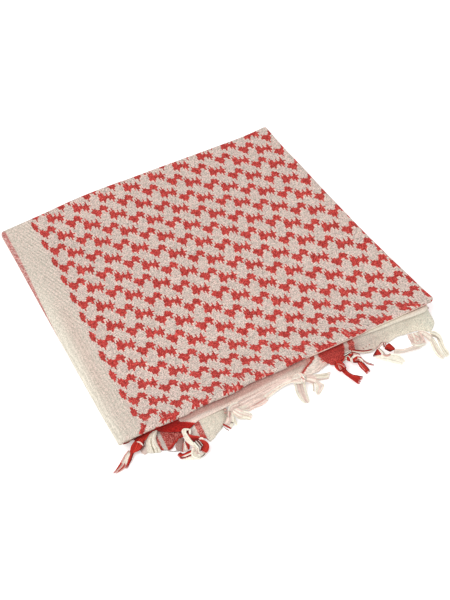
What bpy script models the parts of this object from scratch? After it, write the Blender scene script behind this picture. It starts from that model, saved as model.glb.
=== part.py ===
"""Folded cotton keffiyeh headscarf, lying flat: a stack of folded cloth with knotted fringe.

Frame: metres, +Z up, origin at the middle of the bounding box on the surface it lies on.
+X runs along the front fold and +Y runs from the front fold to the back fold.
Every length in the tables below is in millimetres.
"""

import math

import bmesh
import bpy

MM = 0.001

# ---- driving dimensions (mm) ------------------------------------------------
PANEL_W = 358.0          # folded width, left fold to right fold
PANEL_D = 380.0          # folded depth, front fold to back fold
STACK = 12.0             # height of the nine layers at the middle
FRONT_LIFT = 14.5        # extra height at the front fold, over the fringed ends
FRONT_RUN = 88.0         # how far back the front lift reaches
SIDE_LIFT = 7.5          # extra height at the right fold
SIDE_RUN = 75.0
BACK_LIFT = 5.0          # extra height at the back fold
BACK_RUN = 75.0
WALL = 1.2               # thickness of the outer layer
LAYER_WALL = 1.0         # thickness of the layers that show at the front
GAP = 0.7                # between the outer layer and the hidden layers
ORIGIN = (-0.88, -18.89)  # middle of the bounding box in the working frame

FRONT_Y = -180.0         # nominal front fold in the working frame
RIGHT_X = 184.5
BACK_Y = 198.0

# Outline of the outer layer: how the four folds wander from straight lines.
# fraction along the edge, position across it
LEFT_FOLD = [(0.00, -173.7), (0.11, -175.0), (0.23, -176.2), (0.44, -178.5),
             (0.61, -180.5), (0.81, -182.5), (0.90, -183.5), (1.00, -185.2)]
RIGHT_FOLD = [(0.00, 186.3), (0.12, 187.4), (0.25, 184.6), (0.37, 182.1),
              (0.58, 179.4), (0.77, 177.8), (0.86, 176.4), (1.00, 175.9)]
FRONT_FOLD = [(0.00, -177.0), (0.11, -178.6), (0.28, -180.0), (0.48, -180.0), (0.60, -180.2),
              (0.70, -182.6), (0.79, -184.8), (0.90, -186.4), (1.00, -189.0)]
BACK_FOLD = [(0.00, 204.4), (0.13, 205.1), (0.26, 206.5), (0.37, 205.9), (0.50, 202.5),
             (0.69, 197.8), (0.87, 193.3), (1.00, 190.3)]

# How each side of the outer layer rolls over.
# side: roll half-width, roll half-height, degrees turned, corner radius after it
ROLL = {
    "left": (7.0, 5.3, 150.0),
    "front": (4.0, 4.0, 125.0),
    "right": (3.2, 4.2, 120.0),
    "back": (4.0, 4.6, 125.0),
}
CORNER = {"front_left": 4.0, "front_right": 4.5, "back_right": 3.0, "back_left": 3.0}
LEFT_BOTTOM = [          # fraction front to back, height of the left fold's underside
    (0.00, 9.0), (0.12, 5.0), (0.30, 1.8), (1.00, 1.2),
]

# Hidden layers: where their edge lies inside the outline, and its layered profile.
CORE_INSET = {"left": 8.0, "front": 14.0, "right": 4.6, "back": 5.2}
CORE_EDGE = [            # height fraction, further inset
    (0.00, 3.6), (0.07, 1.2), (0.17, 0.0), (0.29, 0.7), (0.35, 2.6), (0.41, 0.7),
    (0.51, 0.0), (0.61, 0.7), (0.67, 2.6), (0.73, 0.8), (0.84, 0.6), (0.94, 2.0), (1.00, 4.6),
]
TOP_RINGS = [0.0, 6.0, 14.0, 26.0, 42.0, 62.0, 88.0, 120.0, 160.0]

# The layer that shows under the front fold.
# x, y and z of its outermost line, y and z of its lower edge
SECOND_LAYER = [
    (-164, -169.2, 15.0, -169.8, 10.8),
    (-150, -172.2, 15.0, -173.4, 10.8),
    (-138, -175.0, 14.6, -174.8, 10.6),
    (-126, -176.8, 14.5, -179.5, 10.0),
    (-117, -178.4, 14.5, -184.9, 9.6),
    (-108, -180.2, 14.8, -188.2, 9.2),
    (-100, -180.8, 15.0, -187.6, 9.0),
    (-92, -181.2, 15.0, -184.6, 9.0),
    (-75, -181.4, 15.0, -184.0, 9.0),
    (-30, -181.4, 15.0, -184.2, 9.0),
    (-5, -181.2, 15.0, -184.0, 9.0),
    (12, -181.0, 14.8, -184.0, 8.5),
    (22, -180.9, 14.6, -185.0, 6.2),
    (30, -180.8, 14.4, -186.4, 3.0),
    (39, -180.6, 14.0, -188.4, 2.0),
    (48, -180.8, 14.0, -188.4, 2.0),
    (57, -182.2, 14.0, -186.8, 2.2),
    (66, -183.4, 14.0, -191.4, 2.2),
    (73, -184.2, 14.0, -191.0, 2.2),
    (79, -184.8, 14.0, -188.8, 2.4),
    (88, -185.3, 14.0, -188.4, 2.2),
    (95, -185.8, 14.0, -191.3, 1.8),
    (101, -186.1, 14.0, -194.6, 1.8),
    (107, -186.4, 14.0, -195.5, 1.8),
    (116, -186.8, 14.0, -192.2, 1.8),
    (127, -187.2, 14.0, -193.6, 1.8),
    (137, -187.6, 14.0, -191.8, 1.8),
    (145, -188.0, 14.0, -193.6, 1.8),
    (160, -189.0, 14.0, -196.8, 1.8),
    (170, -189.5, 14.0, -204.0, 1.8),
    (176, -188.6, 13.6, -201.5, 1.8),
    (181, -187.0, 12.6, -193.0, 2.2),
]
# The fringed end of a lower layer at the left.
# x, y and z where it leaves the stack, y and z of its hem
THIRD_LAYER = [
    (-133, -173.4, 8.5, -195.4, 1.8),
    (-128, -173.4, 8.3, -196.8, 1.7),
    (-122, -173.4, 8.0, -193.6, 1.8),
    (-116, -173.6, 7.8, -191.2, 2.6),
    (-111, -174.0, 7.6, -190.6, 3.0),
    (-106, -174.0, 7.4, -193.6, 2.8),
    (-100, -173.6, 7.2, -198.0, 2.4),
    (-95, -173.5, 7.1, -202.4, 1.9),
    (-90, -173.5, 7.0, -208.6, 1.6),
    (-85, -173.5, 7.0, -207.6, 1.6),
    (-76, -173.5, 7.0, -202.2, 1.6),
    (-67, -173.5, 7.0, -195.8, 1.6),
    (-59, -172.5, 7.0, -186.4, 1.8),
]
# Loose yarn lying along the front: x, y, z, half-width, half-height
FRINGE_BAND = [
    (-48.0, -188.2, 8.0, 2.2, 2.4), (-42, -190.6, 6.6, 4.1, 3.8), (-34, -191.2, 5.9, 4.8, 4.5),
    (-26, -191.0, 5.9, 5.0, 4.4), (-18, -190.2, 6.2, 4.3, 4.1), (-9, -188.4, 6.6, 2.8, 3.8),
    (2, -187.4, 7.2, 1.9, 3.2), (12.6, -187.8, 7.8, 1.8, 2.3),
]
# Tassels: x, y, z, half-width, half-height at each section
TASSELS = {
    "tassel_01": [(-152.6, -179.2, 11.0, 2.8, 3.2), (-156.4, -180.6, 9.8, 4.6, 4.0),
                  (-161.5, -182.2, 7.8, 4.8, 4.0), (-168.5, -185.0, 5.2, 4.6, 3.0),
                  (-176.5, -188.8, 3.2, 4.2, 2.2), (-188.2, -192.4, 1.7, 1.6, 1.2)],
    "tassel_02": [(-107.0, -191.6, 9.8, 3.0, 2.3), (-108.4, -198.5, 8.6, 5.0, 3.2),
                  (-107.6, -206.0, 7.4, 7.4, 4.2), (-105.6, -212.5, 7.2, 8.4, 5.2),
                  (-104.8, -218.4, 5.6, 7.8, 4.8)],
    "tassel_02_tail": [(-116.8, -211.4, 3.4, 3.6, 2.4), (-121.0, -208.8, 2.6, 3.6, 1.8),
                       (-125.6, -205.8, 1.9, 2.4, 1.2)],
    "tassel_03": [(-56.6, -187.8, 10.4, 2.6, 2.6), (-56.4, -191.8, 9.6, 4.6, 3.8),
                  (-53.4, -196.8, 7.2, 4.6, 3.8), (-48.6, -200.4, 5.2, 4.2, 2.8),
                  (-41.2, -205.6, 2.4, 3.2, 1.6)],
    "tassel_03_tail": [(-62.4, -199.4, 5.6, 3.2, 2.6), (-64.8, -202.6, 4.6, 3.8, 2.3),
                       (-67.4, -207.2, 3.4, 2.4, 1.7)],
    "tassel_04": [(18.8, -187.8, 9.6, 2.8, 2.3), (19.8, -191.4, 9.8, 5.0, 3.6),
                  (20.0, -196.4, 9.0, 5.8, 4.0), (17.6, -202.2, 5.8, 5.4, 2.4),
                  (16.2, -208.4, 4.0, 5.0, 1.9), (16.4, -214.2, 2.7, 4.2, 1.6),
                  (17.4, -218.8, 1.8, 2.2, 1.1)],
    "tassel_05": [(29.0, -193.8, 7.0, 2.6, 1.9), (33.0, -196.2, 6.2, 4.2, 2.6),
                  (38.0, -197.6, 5.2, 4.0, 2.3), (44.0, -198.2, 3.8, 3.1, 1.7),
                  (50.5, -199.4, 2.4, 3.0, 1.6)],
    "tassel_05_tail": [(36.4, -205.4, 3.9, 4.6, 1.9), (34.4, -209.2, 2.9, 4.8, 1.8),
                       (31.8, -214.4, 1.7, 2.6, 1.2)],
    "tassel_06": [(64.8, -193.0, 7.8, 2.6, 2.5), (65.5, -196.6, 8.0, 4.4, 2.9),
                  (65.6, -201.8, 7.6, 4.6, 3.2), (67.6, -207.6, 6.5, 3.4, 2.7),
                  (70.0, -213.6, 4.3, 3.0, 1.9), (73.4, -218.8, 3.0, 3.8, 1.9),
                  (76.0, -223.6, 2.2, 4.2, 1.7)],
    "tassel_07": [(81.6, -191.2, 7.6, 3.2, 2.2), (81.8, -195.8, 8.6, 5.4, 2.4),
                  (85.0, -200.6, 8.8, 5.6, 2.5), (86.8, -206.2, 7.4, 4.0, 2.3),
                  (87.2, -212.4, 4.6, 3.8, 2.3), (87.6, -219.0, 2.4, 2.3, 1.4)],
    "tassel_08": [(103.6, -203.8, 5.9, 2.2, 2.1), (107.2, -205.2, 6.0, 3.4, 2.5),
                  (111.4, -210.3, 5.0, 3.4, 2.1), (116.5, -214.6, 4.3, 4.0, 2.1),
                  (121.5, -219.4, 3.2, 4.4, 2.1), (125.0, -225.0, 2.0, 3.2, 1.5)],
    "tassel_08_knot": [(112.4, -199.0, 8.4, 1.8, 1.2), (116.4, -200.0, 8.2, 3.2, 1.9),
                       (120.2, -203.4, 7.8, 3.8, 2.8), (123.8, -207.6, 6.4, 3.0, 2.9),
                       (130.2, -213.0, 4.3, 2.4, 1.6), (136.5, -215.6, 4.2, 2.2, 1.4),
                       (142.6, -217.6, 4.0, 1.2, 1.1)],
    "tassel_09": [(148.0, -199.6, 6.0, 1.8, 1.4), (150.6, -203.8, 6.9, 6.0, 2.4),
                  (151.1, -209.0, 7.0, 7.0, 3.0), (151.3, -213.8, 6.6, 6.0, 3.2),
                  (151.9, -216.8, 5.9, 4.6, 2.8)],
    "tassel_10": [(163.8, -207.6, 6.6, 3.2, 2.2), (165.5, -212.4, 7.2, 5.2, 2.7),
                  (166.5, -219.0, 7.2, 6.0, 3.2), (165.4, -226.4, 5.6, 6.2, 2.3),
                  (163.9, -234.2, 4.0, 6.2, 2.0), (164.0, -241.8, 2.4, 5.2, 1.7)],
}
# The turned-over cream corner beside the first tassel: x, y, z, half-width, half-height
EDGE_CURL = [(-138.4, -178.8, 9.6, 3.0, 3.6), (-141.6, -180.8, 9.2, 5.2, 5.0),
             (-143.6, -185.8, 7.2, 5.6, 6.2), (-141.8, -191.2, 4.2, 3.6, 3.7)]

CREAM = (0.78, 0.73, 0.64)
RED = (0.62, 0.055, 0.05)
PINK = (0.80, 0.62, 0.55)


# ---- helpers ----------------------------------------------------------------
def along(table, t, column=1):
    """Smooth value of a table's column at t, by a cubic through its rows."""
    t = min(max(t, table[0][0]), table[-1][0])
    k = max(i for i in range(len(table) - 1) if table[i][0] <= t)
    (t0, a), (t1, b) = [(table[i][0], table[i][column]) for i in (k, k + 1)]

    def slope(i):
        lo, hi = max(i - 1, 0), min(i + 1, len(table) - 1)
        return (table[hi][column] - table[lo][column]) / (table[hi][0] - table[lo][0])

    h = t1 - t0
    s = (t - t0) / h
    return (
        a * (1 + 2 * s) * (1 - s) ** 2
        + b * s * s * (3 - 2 * s)
        + slope(k) * h * s * (1 - s) ** 2
        - slope(k + 1) * h * s * s * (1 - s)
    )


def plan(s, t):
    """Working-frame x, y of a point in the ideal rectangle PANEL_W by PANEL_D."""
    u, v = s / PANEL_W, t / PANEL_D
    x = along(LEFT_FOLD, v) * (1 - u) + along(RIGHT_FOLD, v) * u
    y = along(FRONT_FOLD, u) * (1 - v) + along(BACK_FOLD, u) * v
    return x, y


def top_height(x, y):
    """Height of the outer layer's upper face."""
    front = FRONT_LIFT * min(max(1 - (y - FRONT_Y) / FRONT_RUN, 0.0), 1.1) ** 2
    right = SIDE_LIFT * min(max(1 - (RIGHT_X - x) / SIDE_RUN, 0.0), 1.1) ** 2
    back = BACK_LIFT * min(max(1 - (BACK_Y - y) / BACK_RUN, 0.0), 1.1) ** 2
    return STACK + math.sqrt(front * front + right * right + back * back)


def ring(inset):
    """Points round a rounded rectangle, inset by a function of each point's side weights.

    Each point is (x, y, weights), where weights share the point between the sides.
    """
    per_side, per_corner = (13, 12), 3
    points = []
    corners = [
        ("front_right", -90.0, 1, 0), ("back_right", 0.0, 1, 1),
        ("back_left", 90.0, 0, 1), ("front_left", 180.0, 0, 0),
    ]
    sides = ["front", "right", "back", "left"]
    samples = []
    for k, (name, start, ix, iy) in enumerate(corners):
        n = per_side[k % 2]
        before = corners[k - 1]
        for i in range(1, n):
            samples.append((sides[k], before, corners[k], i / n, None))
        for i in range(per_corner + 1):
            samples.append((None, corners[k], corners[k], 0.0, start + 90.0 * i / per_corner))

    def corner_centre(c, d):
        r = CORNER[c[0]] + 0.3 * d
        return (
            (PANEL_W - d - r) if c[2] else (d + r),
            (PANEL_D - d - r) if c[3] else (d + r),
            r,
        )

    for side, c0, c1, f, angle in samples:
        if angle is None:
            n = {"front": (0, -1), "right": (1, 0), "back": (0, 1), "left": (-1, 0)}[side]
        else:
            a = math.radians(angle)
            n = (math.cos(a), math.sin(a))
        w = {
            "left": max(-n[0], 0) ** 2, "right": max(n[0], 0) ** 2,
            "front": max(-n[1], 0) ** 2, "back": max(n[1], 0) ** 2,
        }
        d = inset(w)
        if angle is None:
            ax, ay, ar = corner_centre(c0, d)
            bx, by, br = corner_centre(c1, d)
            s = (ax + n[0] * ar) * (1 - f) + (bx + n[0] * br) * f
            t = (ay + n[1] * ar) * (1 - f) + (by + n[1] * br) * f
        else:
            cx, cy, r = corner_centre(c0, d)
            s, t = cx + n[0] * r, cy + n[1] * r
        points.append((*plan(s, t), w, t / PANEL_D))
    return points


def blend(w, values):
    return sum(w[k] * values[k] for k in w)


def closed_body(name, loops, colour, roughness, cap_first=True, cap_last=True):
    """Skin a list of equal point loops, cap the ends and make it an object."""
    bm = bmesh.new()
    rows = [
        [bm.verts.new(((x - ORIGIN[0]) * MM, (y - ORIGIN[1]) * MM, z * MM)) for x, y, z in loop]
        for loop in loops
    ]
    n = len(rows[0])
    for a, b in zip(rows, rows[1:]):
        for i in range(n):
            bm.faces.new((a[i], a[(i + 1) % n], b[(i + 1) % n], b[i]))
    if cap_first:
        bm.faces.new(list(reversed(rows[0])))
    if cap_last:
        bm.faces.new(rows[-1])
    bmesh.ops.recalc_face_normals(bm, faces=bm.faces)
    bmesh.ops.triangulate(bm, faces=bm.faces)
    mesh = bpy.data.meshes.new(name)
    bm.to_mesh(mesh)
    bm.free()
    material = bpy.data.materials.new(name)
    material.use_nodes = True
    shader = material.node_tree.nodes["Principled BSDF"]
    shader.inputs["Base Color"].default_value = (*colour, 1.0)
    shader.inputs["Roughness"].default_value = roughness
    shader.inputs["Metallic"].default_value = 0.0
    mesh.materials.append(material)
    mesh.shade_smooth()
    mesh.set_sharp_from_angle(angle=math.radians(50))
    obj = bpy.data.objects.new(name, mesh)
    bpy.context.scene.collection.objects.link(obj)
    return obj


# ---- the outer layer and the hidden layers -----------------------------------
def roll_values(w, y_fraction, x, y):
    """Half-width, half-height and turn of the roll at a point on the outline."""
    height = top_height(x, y)
    half = {k: ROLL[k][1] for k in ROLL}
    half["left"] = (height - along(LEFT_BOTTOM, y_fraction)) / 2
    return (
        blend(w, {k: ROLL[k][0] for k in ROLL}),
        blend(w, half),
        math.radians(blend(w, {k: ROLL[k][2] for k in ROLL})),
    )


def skin_loops(offset):
    """Loops of one face of the outer layer, from its lower lip to its middle."""
    outline = ring(lambda w: 0.0)
    steps = 6
    loops = []
    for i in range(steps + 1):
        turn = 1 - i / steps
        insets = []
        drops = []
        for x, y, w, f in outline:
            rx, rz, end = roll_values(w, f, x, y)
            a = end * turn
            insets.append(offset + (rx - offset) * (1 - math.sin(a)))
            drops.append(offset + (rz - offset) * (1 - math.cos(a)))
        it = iter(insets)
        placed = ring(lambda w: next(it))
        loops.append([
            (x, y, top_height(x, y) - drop) for (x, y, w, f), drop in zip(placed, drops)
        ])
    for extra in TOP_RINGS[1:]:
        placed = ring(lambda w: blend(w, {k: ROLL[k][0] for k in ROLL}) * max(0.0, 1 - extra / 40.0) + extra)
        loops.append([(x, y, top_height(x, y) - offset) for x, y, w, f in placed])
    return loops


def make_top_layer():
    outer = skin_loops(0.0)
    inner = skin_loops(WALL)
    return closed_body("top_layer", list(reversed(outer)) + inner, CREAM, 0.95)


def make_core():
    loops = []
    for part, extra in CORE_EDGE:
        placed = ring(lambda w: blend(w, CORE_INSET) + extra)
        loops.append([
            (x, y, part * (top_height(x, y) - WALL - GAP))
            for x, y, w, f in placed
        ])
    for extra in TOP_RINGS[3:]:
        placed = ring(lambda w: extra)
        loops.append([(x, y, top_height(x, y) - WALL - GAP) for x, y, w, f in placed])
    return closed_body("folded_core", loops, CREAM, 0.95)


# ---- layers that show under the front fold ------------------------------------
def sheet_wall(name, rows, profile, colour):
    """A wall of LAYER_WALL thickness swept along x, its section given by profile(row)."""
    loops = []
    for row in rows:
        line = profile(row)
        sides = []
        for i, (y, z) in enumerate(line):
            (y0, z0), (y1, z1) = line[max(i - 1, 0)], line[min(i + 1, len(line) - 1)]
            length = math.hypot(y1 - y0, z1 - z0)
            sides.append(((z1 - z0) / length, -(y1 - y0) / length))
        half = LAYER_WALL / 2
        face = [(row[0], y + ny * half, z + nz * half) for (y, z), (ny, nz) in zip(line, sides)]
        back = [(row[0], y - ny * half, z - nz * half) for (y, z), (ny, nz) in zip(line, sides)]
        loops.append(face + list(reversed(back)))
    return closed_body(name, loops, colour, 0.95)


def resample(table, n):
    lo, hi = table[0][0], table[-1][0]
    return [
        tuple([lo + (hi - lo) * i / n] + [along(table, lo + (hi - lo) * i / n, c) for c in range(1, len(table[0]))])
        for i in range(n + 1)
    ]


def bezier(p0, p1, p2, n):
    return [
        tuple((1 - t) ** 2 * a + 2 * t * (1 - t) * b + t * t * c for a, b, c in zip(p0, p1, p2))
        for t in (i / n for i in range(n + 1))
    ]


def second_profile(row):
    x, y_out, z_out, y_low, z_low = row
    reach = min(7.0, 2.6 + 0.09 * (x + 164))      # shorter where the hidden layers are close
    start = (y_out + reach, z_out + 3.6)
    upper = bezier(start, (y_out - 0.2, z_out + 3.8), (y_out, z_out), 4)
    lower = bezier((y_out, z_out), (y_out - 0.4, (z_out + z_low) / 2 - 1.5), (y_low, z_low), 4)
    return upper + lower[1:]


def third_profile(row):
    x, y_in, z_in, y_hem, z_hem = row
    return bezier((y_in, z_in), (y_in * 0.45 + y_hem * 0.55, z_in * 0.75 + z_hem * 0.25), (y_hem, z_hem), 5)


# ---- fringe --------------------------------------------------------------------
def soft_tube(name, rows, colour, around=8, steps=2):
    """A closed rounded solid through sections of half-width and half-height."""
    sections = []
    for i in range(len(rows) - 1):
        p = [rows[max(i - 1, 0)], rows[i], rows[i + 1], rows[min(i + 2, len(rows) - 1)]]
        for k in range(steps):
            t = k / steps
            sections.append(tuple(
                0.5 * (2 * b + (c - a) * t + (2 * a - 5 * b + 4 * c - d) * t * t
                       + (3 * b - a - 3 * c + d) * t ** 3)
                for a, b, c, d in zip(*p)
            ))
    sections.append(tuple(float(v) for v in rows[-1]))
    loops = []
    for i, (x, y, z, hw, hh) in enumerate(sections):
        a, b = sections[max(i - 1, 0)], sections[min(i + 1, len(sections) - 1)]
        dx, dy = b[0] - a[0], b[1] - a[1]
        length = math.hypot(dx, dy)
        nx, ny = -dy / length, dx / length
        loop = []
        for k in range(around):
            ang = 2 * math.pi * (k + 0.5) / around
            loop.append((x + nx * hw * math.cos(ang), y + ny * hw * math.cos(ang),
                         max(z + hh * math.sin(ang), 0.3)))
        loops.append(loop)
    for end, step in ((0, 1), (-1, -1)):     # rounded ends
        x, y, z, hw, hh = sections[end]
        a = sections[end + step]
        dx, dy = x - a[0], y - a[1]
        length = math.hypot(dx, dy)
        ux, uy = dx / length, dy / length
        small = [
            (x + (px - x) * 0.55 + ux * hw * 0.45, y + (py - y) * 0.55 + uy * hw * 0.45,
             z + (pz - z) * 0.55)
            for px, py, pz in loops[end]
        ]
        if end == 0:
            loops.insert(0, small)
        else:
            loops.append(small)
    return closed_body(name, loops, colour, 0.9)


def main():
    for obj in list(bpy.data.objects):
        bpy.data.objects.remove(obj, do_unlink=True)
    make_top_layer()
    make_core()
    sheet_wall("second_layer", resample(SECOND_LAYER, 46), second_profile, PINK)
    sheet_wall("third_layer", resample(THIRD_LAYER, 24), third_profile, CREAM)
    soft_tube("fringe_band", FRINGE_BAND, PINK)
    soft_tube("edge_curl", EDGE_CURL, CREAM)
    reds = ("tassel_01", "tassel_02", "tassel_02_tail", "tassel_06", "tassel_07", "tassel_08_knot")
    for name, rows in TASSELS.items():
        soft_tube(name, rows, RED if name in reds else PINK)


main()
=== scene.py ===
"""Folded keffiyeh: cloth shells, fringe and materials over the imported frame."""

import math

import bpy
import numpy as np
from mathutils import Matrix, Vector


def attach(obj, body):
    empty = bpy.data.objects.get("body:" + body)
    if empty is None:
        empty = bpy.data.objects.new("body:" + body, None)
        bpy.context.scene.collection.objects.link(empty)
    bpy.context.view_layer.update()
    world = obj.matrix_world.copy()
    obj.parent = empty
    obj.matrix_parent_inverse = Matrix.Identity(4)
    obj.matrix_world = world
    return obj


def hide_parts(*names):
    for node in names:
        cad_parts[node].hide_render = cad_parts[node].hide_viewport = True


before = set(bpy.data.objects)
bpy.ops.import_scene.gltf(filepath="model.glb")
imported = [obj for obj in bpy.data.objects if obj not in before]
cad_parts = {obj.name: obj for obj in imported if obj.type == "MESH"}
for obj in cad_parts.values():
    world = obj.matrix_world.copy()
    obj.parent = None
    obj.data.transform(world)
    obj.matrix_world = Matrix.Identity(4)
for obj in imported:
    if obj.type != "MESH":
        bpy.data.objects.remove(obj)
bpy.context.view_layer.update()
MM = 0.001
TAU = 2 * math.pi

# ---- dimensions shared with the part (mm, working frame) ----------------------
PANEL_W, PANEL_D = 358.0, 380.0
STACK, FRONT_LIFT, FRONT_RUN = 12.0, 14.5, 88.0
SIDE_LIFT, SIDE_RUN, BACK_LIFT, BACK_RUN = 7.5, 75.0, 5.0, 75.0
ORIGIN = (-0.88, -18.89)
FRONT_Y, RIGHT_X, BACK_Y = -180.0, 184.5, 198.0
LEFT_FOLD = [(0.00, -173.7), (0.11, -175.0), (0.23, -176.2), (0.44, -178.5),
             (0.61, -180.5), (0.81, -182.5), (0.90, -183.5), (1.00, -185.2)]
RIGHT_FOLD = [(0.00, 186.3), (0.12, 187.4), (0.25, 184.6), (0.37, 182.1),
              (0.58, 179.4), (0.77, 177.8), (0.86, 176.4), (1.00, 175.9)]
FRONT_FOLD = [(0.00, -177.0), (0.11, -178.6), (0.28, -180.0), (0.48, -180.0), (0.60, -180.2),
              (0.70, -182.6), (0.79, -184.8), (0.90, -186.4), (1.00, -189.0)]
BACK_FOLD = [(0.00, 204.4), (0.13, 205.1), (0.26, 206.5), (0.37, 205.9), (0.50, 202.5),
             (0.69, 197.8), (0.87, 193.3), (1.00, 190.3)]
ROLL = {"left": (7.0, 5.3, 150.0), "front": (4.0, 4.0, 125.0),
        "right": (3.2, 4.2, 120.0), "back": (4.0, 4.6, 125.0)}
CORNER = {"front_left": 4.0, "front_right": 4.5, "back_right": 3.0, "back_left": 3.0}
LEFT_BOTTOM = [(0.00, 9.0), (0.12, 5.0), (0.30, 1.8), (1.00, 1.2)]
# How far the front fold bulges past its line, by place across
FRONT_BULGE = [(-140, 0.3), (-115, 1.2), (-99, 1.5), (-85, 0.2), (-71, 0.5), (-57, 1.7), (-43, 1.7), (-29, -0.6),
               (-15, 0.2), (-1, 1.1), (13, 1.5), (27, 0.6), (41, 1.7), (55, 1.9), (69, 1.7), (84, 1.7), (97, 1.4),
               (106, 0.7), (116, 0.1), (140, 0.0), (180, 0.0)]
CORE_INSET = {"left": 8.0, "front": 14.0, "right": 4.6, "back": 5.2}
SIDES = ("left", "right", "front", "back")

# Cloth coordinates (repeats of the woven figure) at a place on the panel, as a cubic in
# x and y taken in tenths of a metre: powers of x and y, coefficient across, coefficient up
CLOTH = [
    (0, 0, 5.3858, 5.6184), (0, 1, -0.0392, 2.9436), (0, 2, -0.0049, -0.0640),
    (0, 3, 0.0220, 0.0232), (1, 0, 2.9200, 0.0056), (1, 1, 0.0130, -0.0085),
    (1, 2, 0.0034, 0.0074), (2, 0, 0.0259, -0.0556), (2, 1, -0.0040, 0.0078),
    (3, 0, 0.0024, 0.0089),
]

# One repeat of the woven figure, listed and read from a straightened average
# of the photo's repeats: 24 warp columns, each with one or two
# red floats. column, first float's top and bottom, second float's top and bottom (24 rows)
FIGURE = [
    (0, 21.1, 25.6, 0, 0), (1, 18.6, 29.6, 0, 0), (2, 22.9, 28.0, 0, 0),
    (3, 22.8, 32.6, 0, 0), (4, 21.0, 30.0, 0, 0), (5, 18.9, 30.1, 9.6, 12.2),
    (6, 24.6, 26.2, 9.0, 13.4), (7, 0.9, 2.3, 6.0, 17.0), (8, 8.0, 17.2, 0, 0),
    (9, 7.8, 20.9, 0, 0), (10, 9.6, 18.0, 0, 0), (11, 10.2, 16.9, 0, 0),
    (12, 10.2, 16.2, 0, 0), (13, 8.3, 12.8, 0, 0), (14, 6.5, 12.8, 0, 0),
    (15, 6.1, 13.3, 0, 0), (16, 6.3, 16.2, 0, 0), (17, 8.0, 17.0, 22.9, 26.6),
    (18, 8.1, 13.2, 18.2, 26.2), (19, 11.0, 12.8, 15.4, 26.4), (20, 17.4, 29.9, 0, 0),
    (21, 13.9, 28.3, 0, 0), (22, 17.0, 26.7, 0, 0), (23, 21.4, 25.6, 0, 0),
]


# ---- camera: place (mm, working frame), axes and focal length in pixels of the frame ----
CAMERA = (-228.7, -870.9, 899.2)
RIGHT = (0.89308086, -0.42183049, -0.15641489)
FORWARD = (0.18842302, 0.66641016, -0.72138358)
FOCAL = 1110.0

# Cloth position across at the left fold's outermost line: fraction front to back, repeats
LEFT_RIM = [(0.0, 0.40), (0.35, 0.285), (0.45, 0.235), (0.60, 0.150), (0.80, 0.078), (1.0, 0.045)]
# Bundles of hidden layers, bottom to top: share of the height, number of layers
BUNDLES = [(0.36, 3), (0.30, 2), (0.34, 3)]
BUNDLE_REACH = [1.6, -0.4, 0.7]

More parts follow.
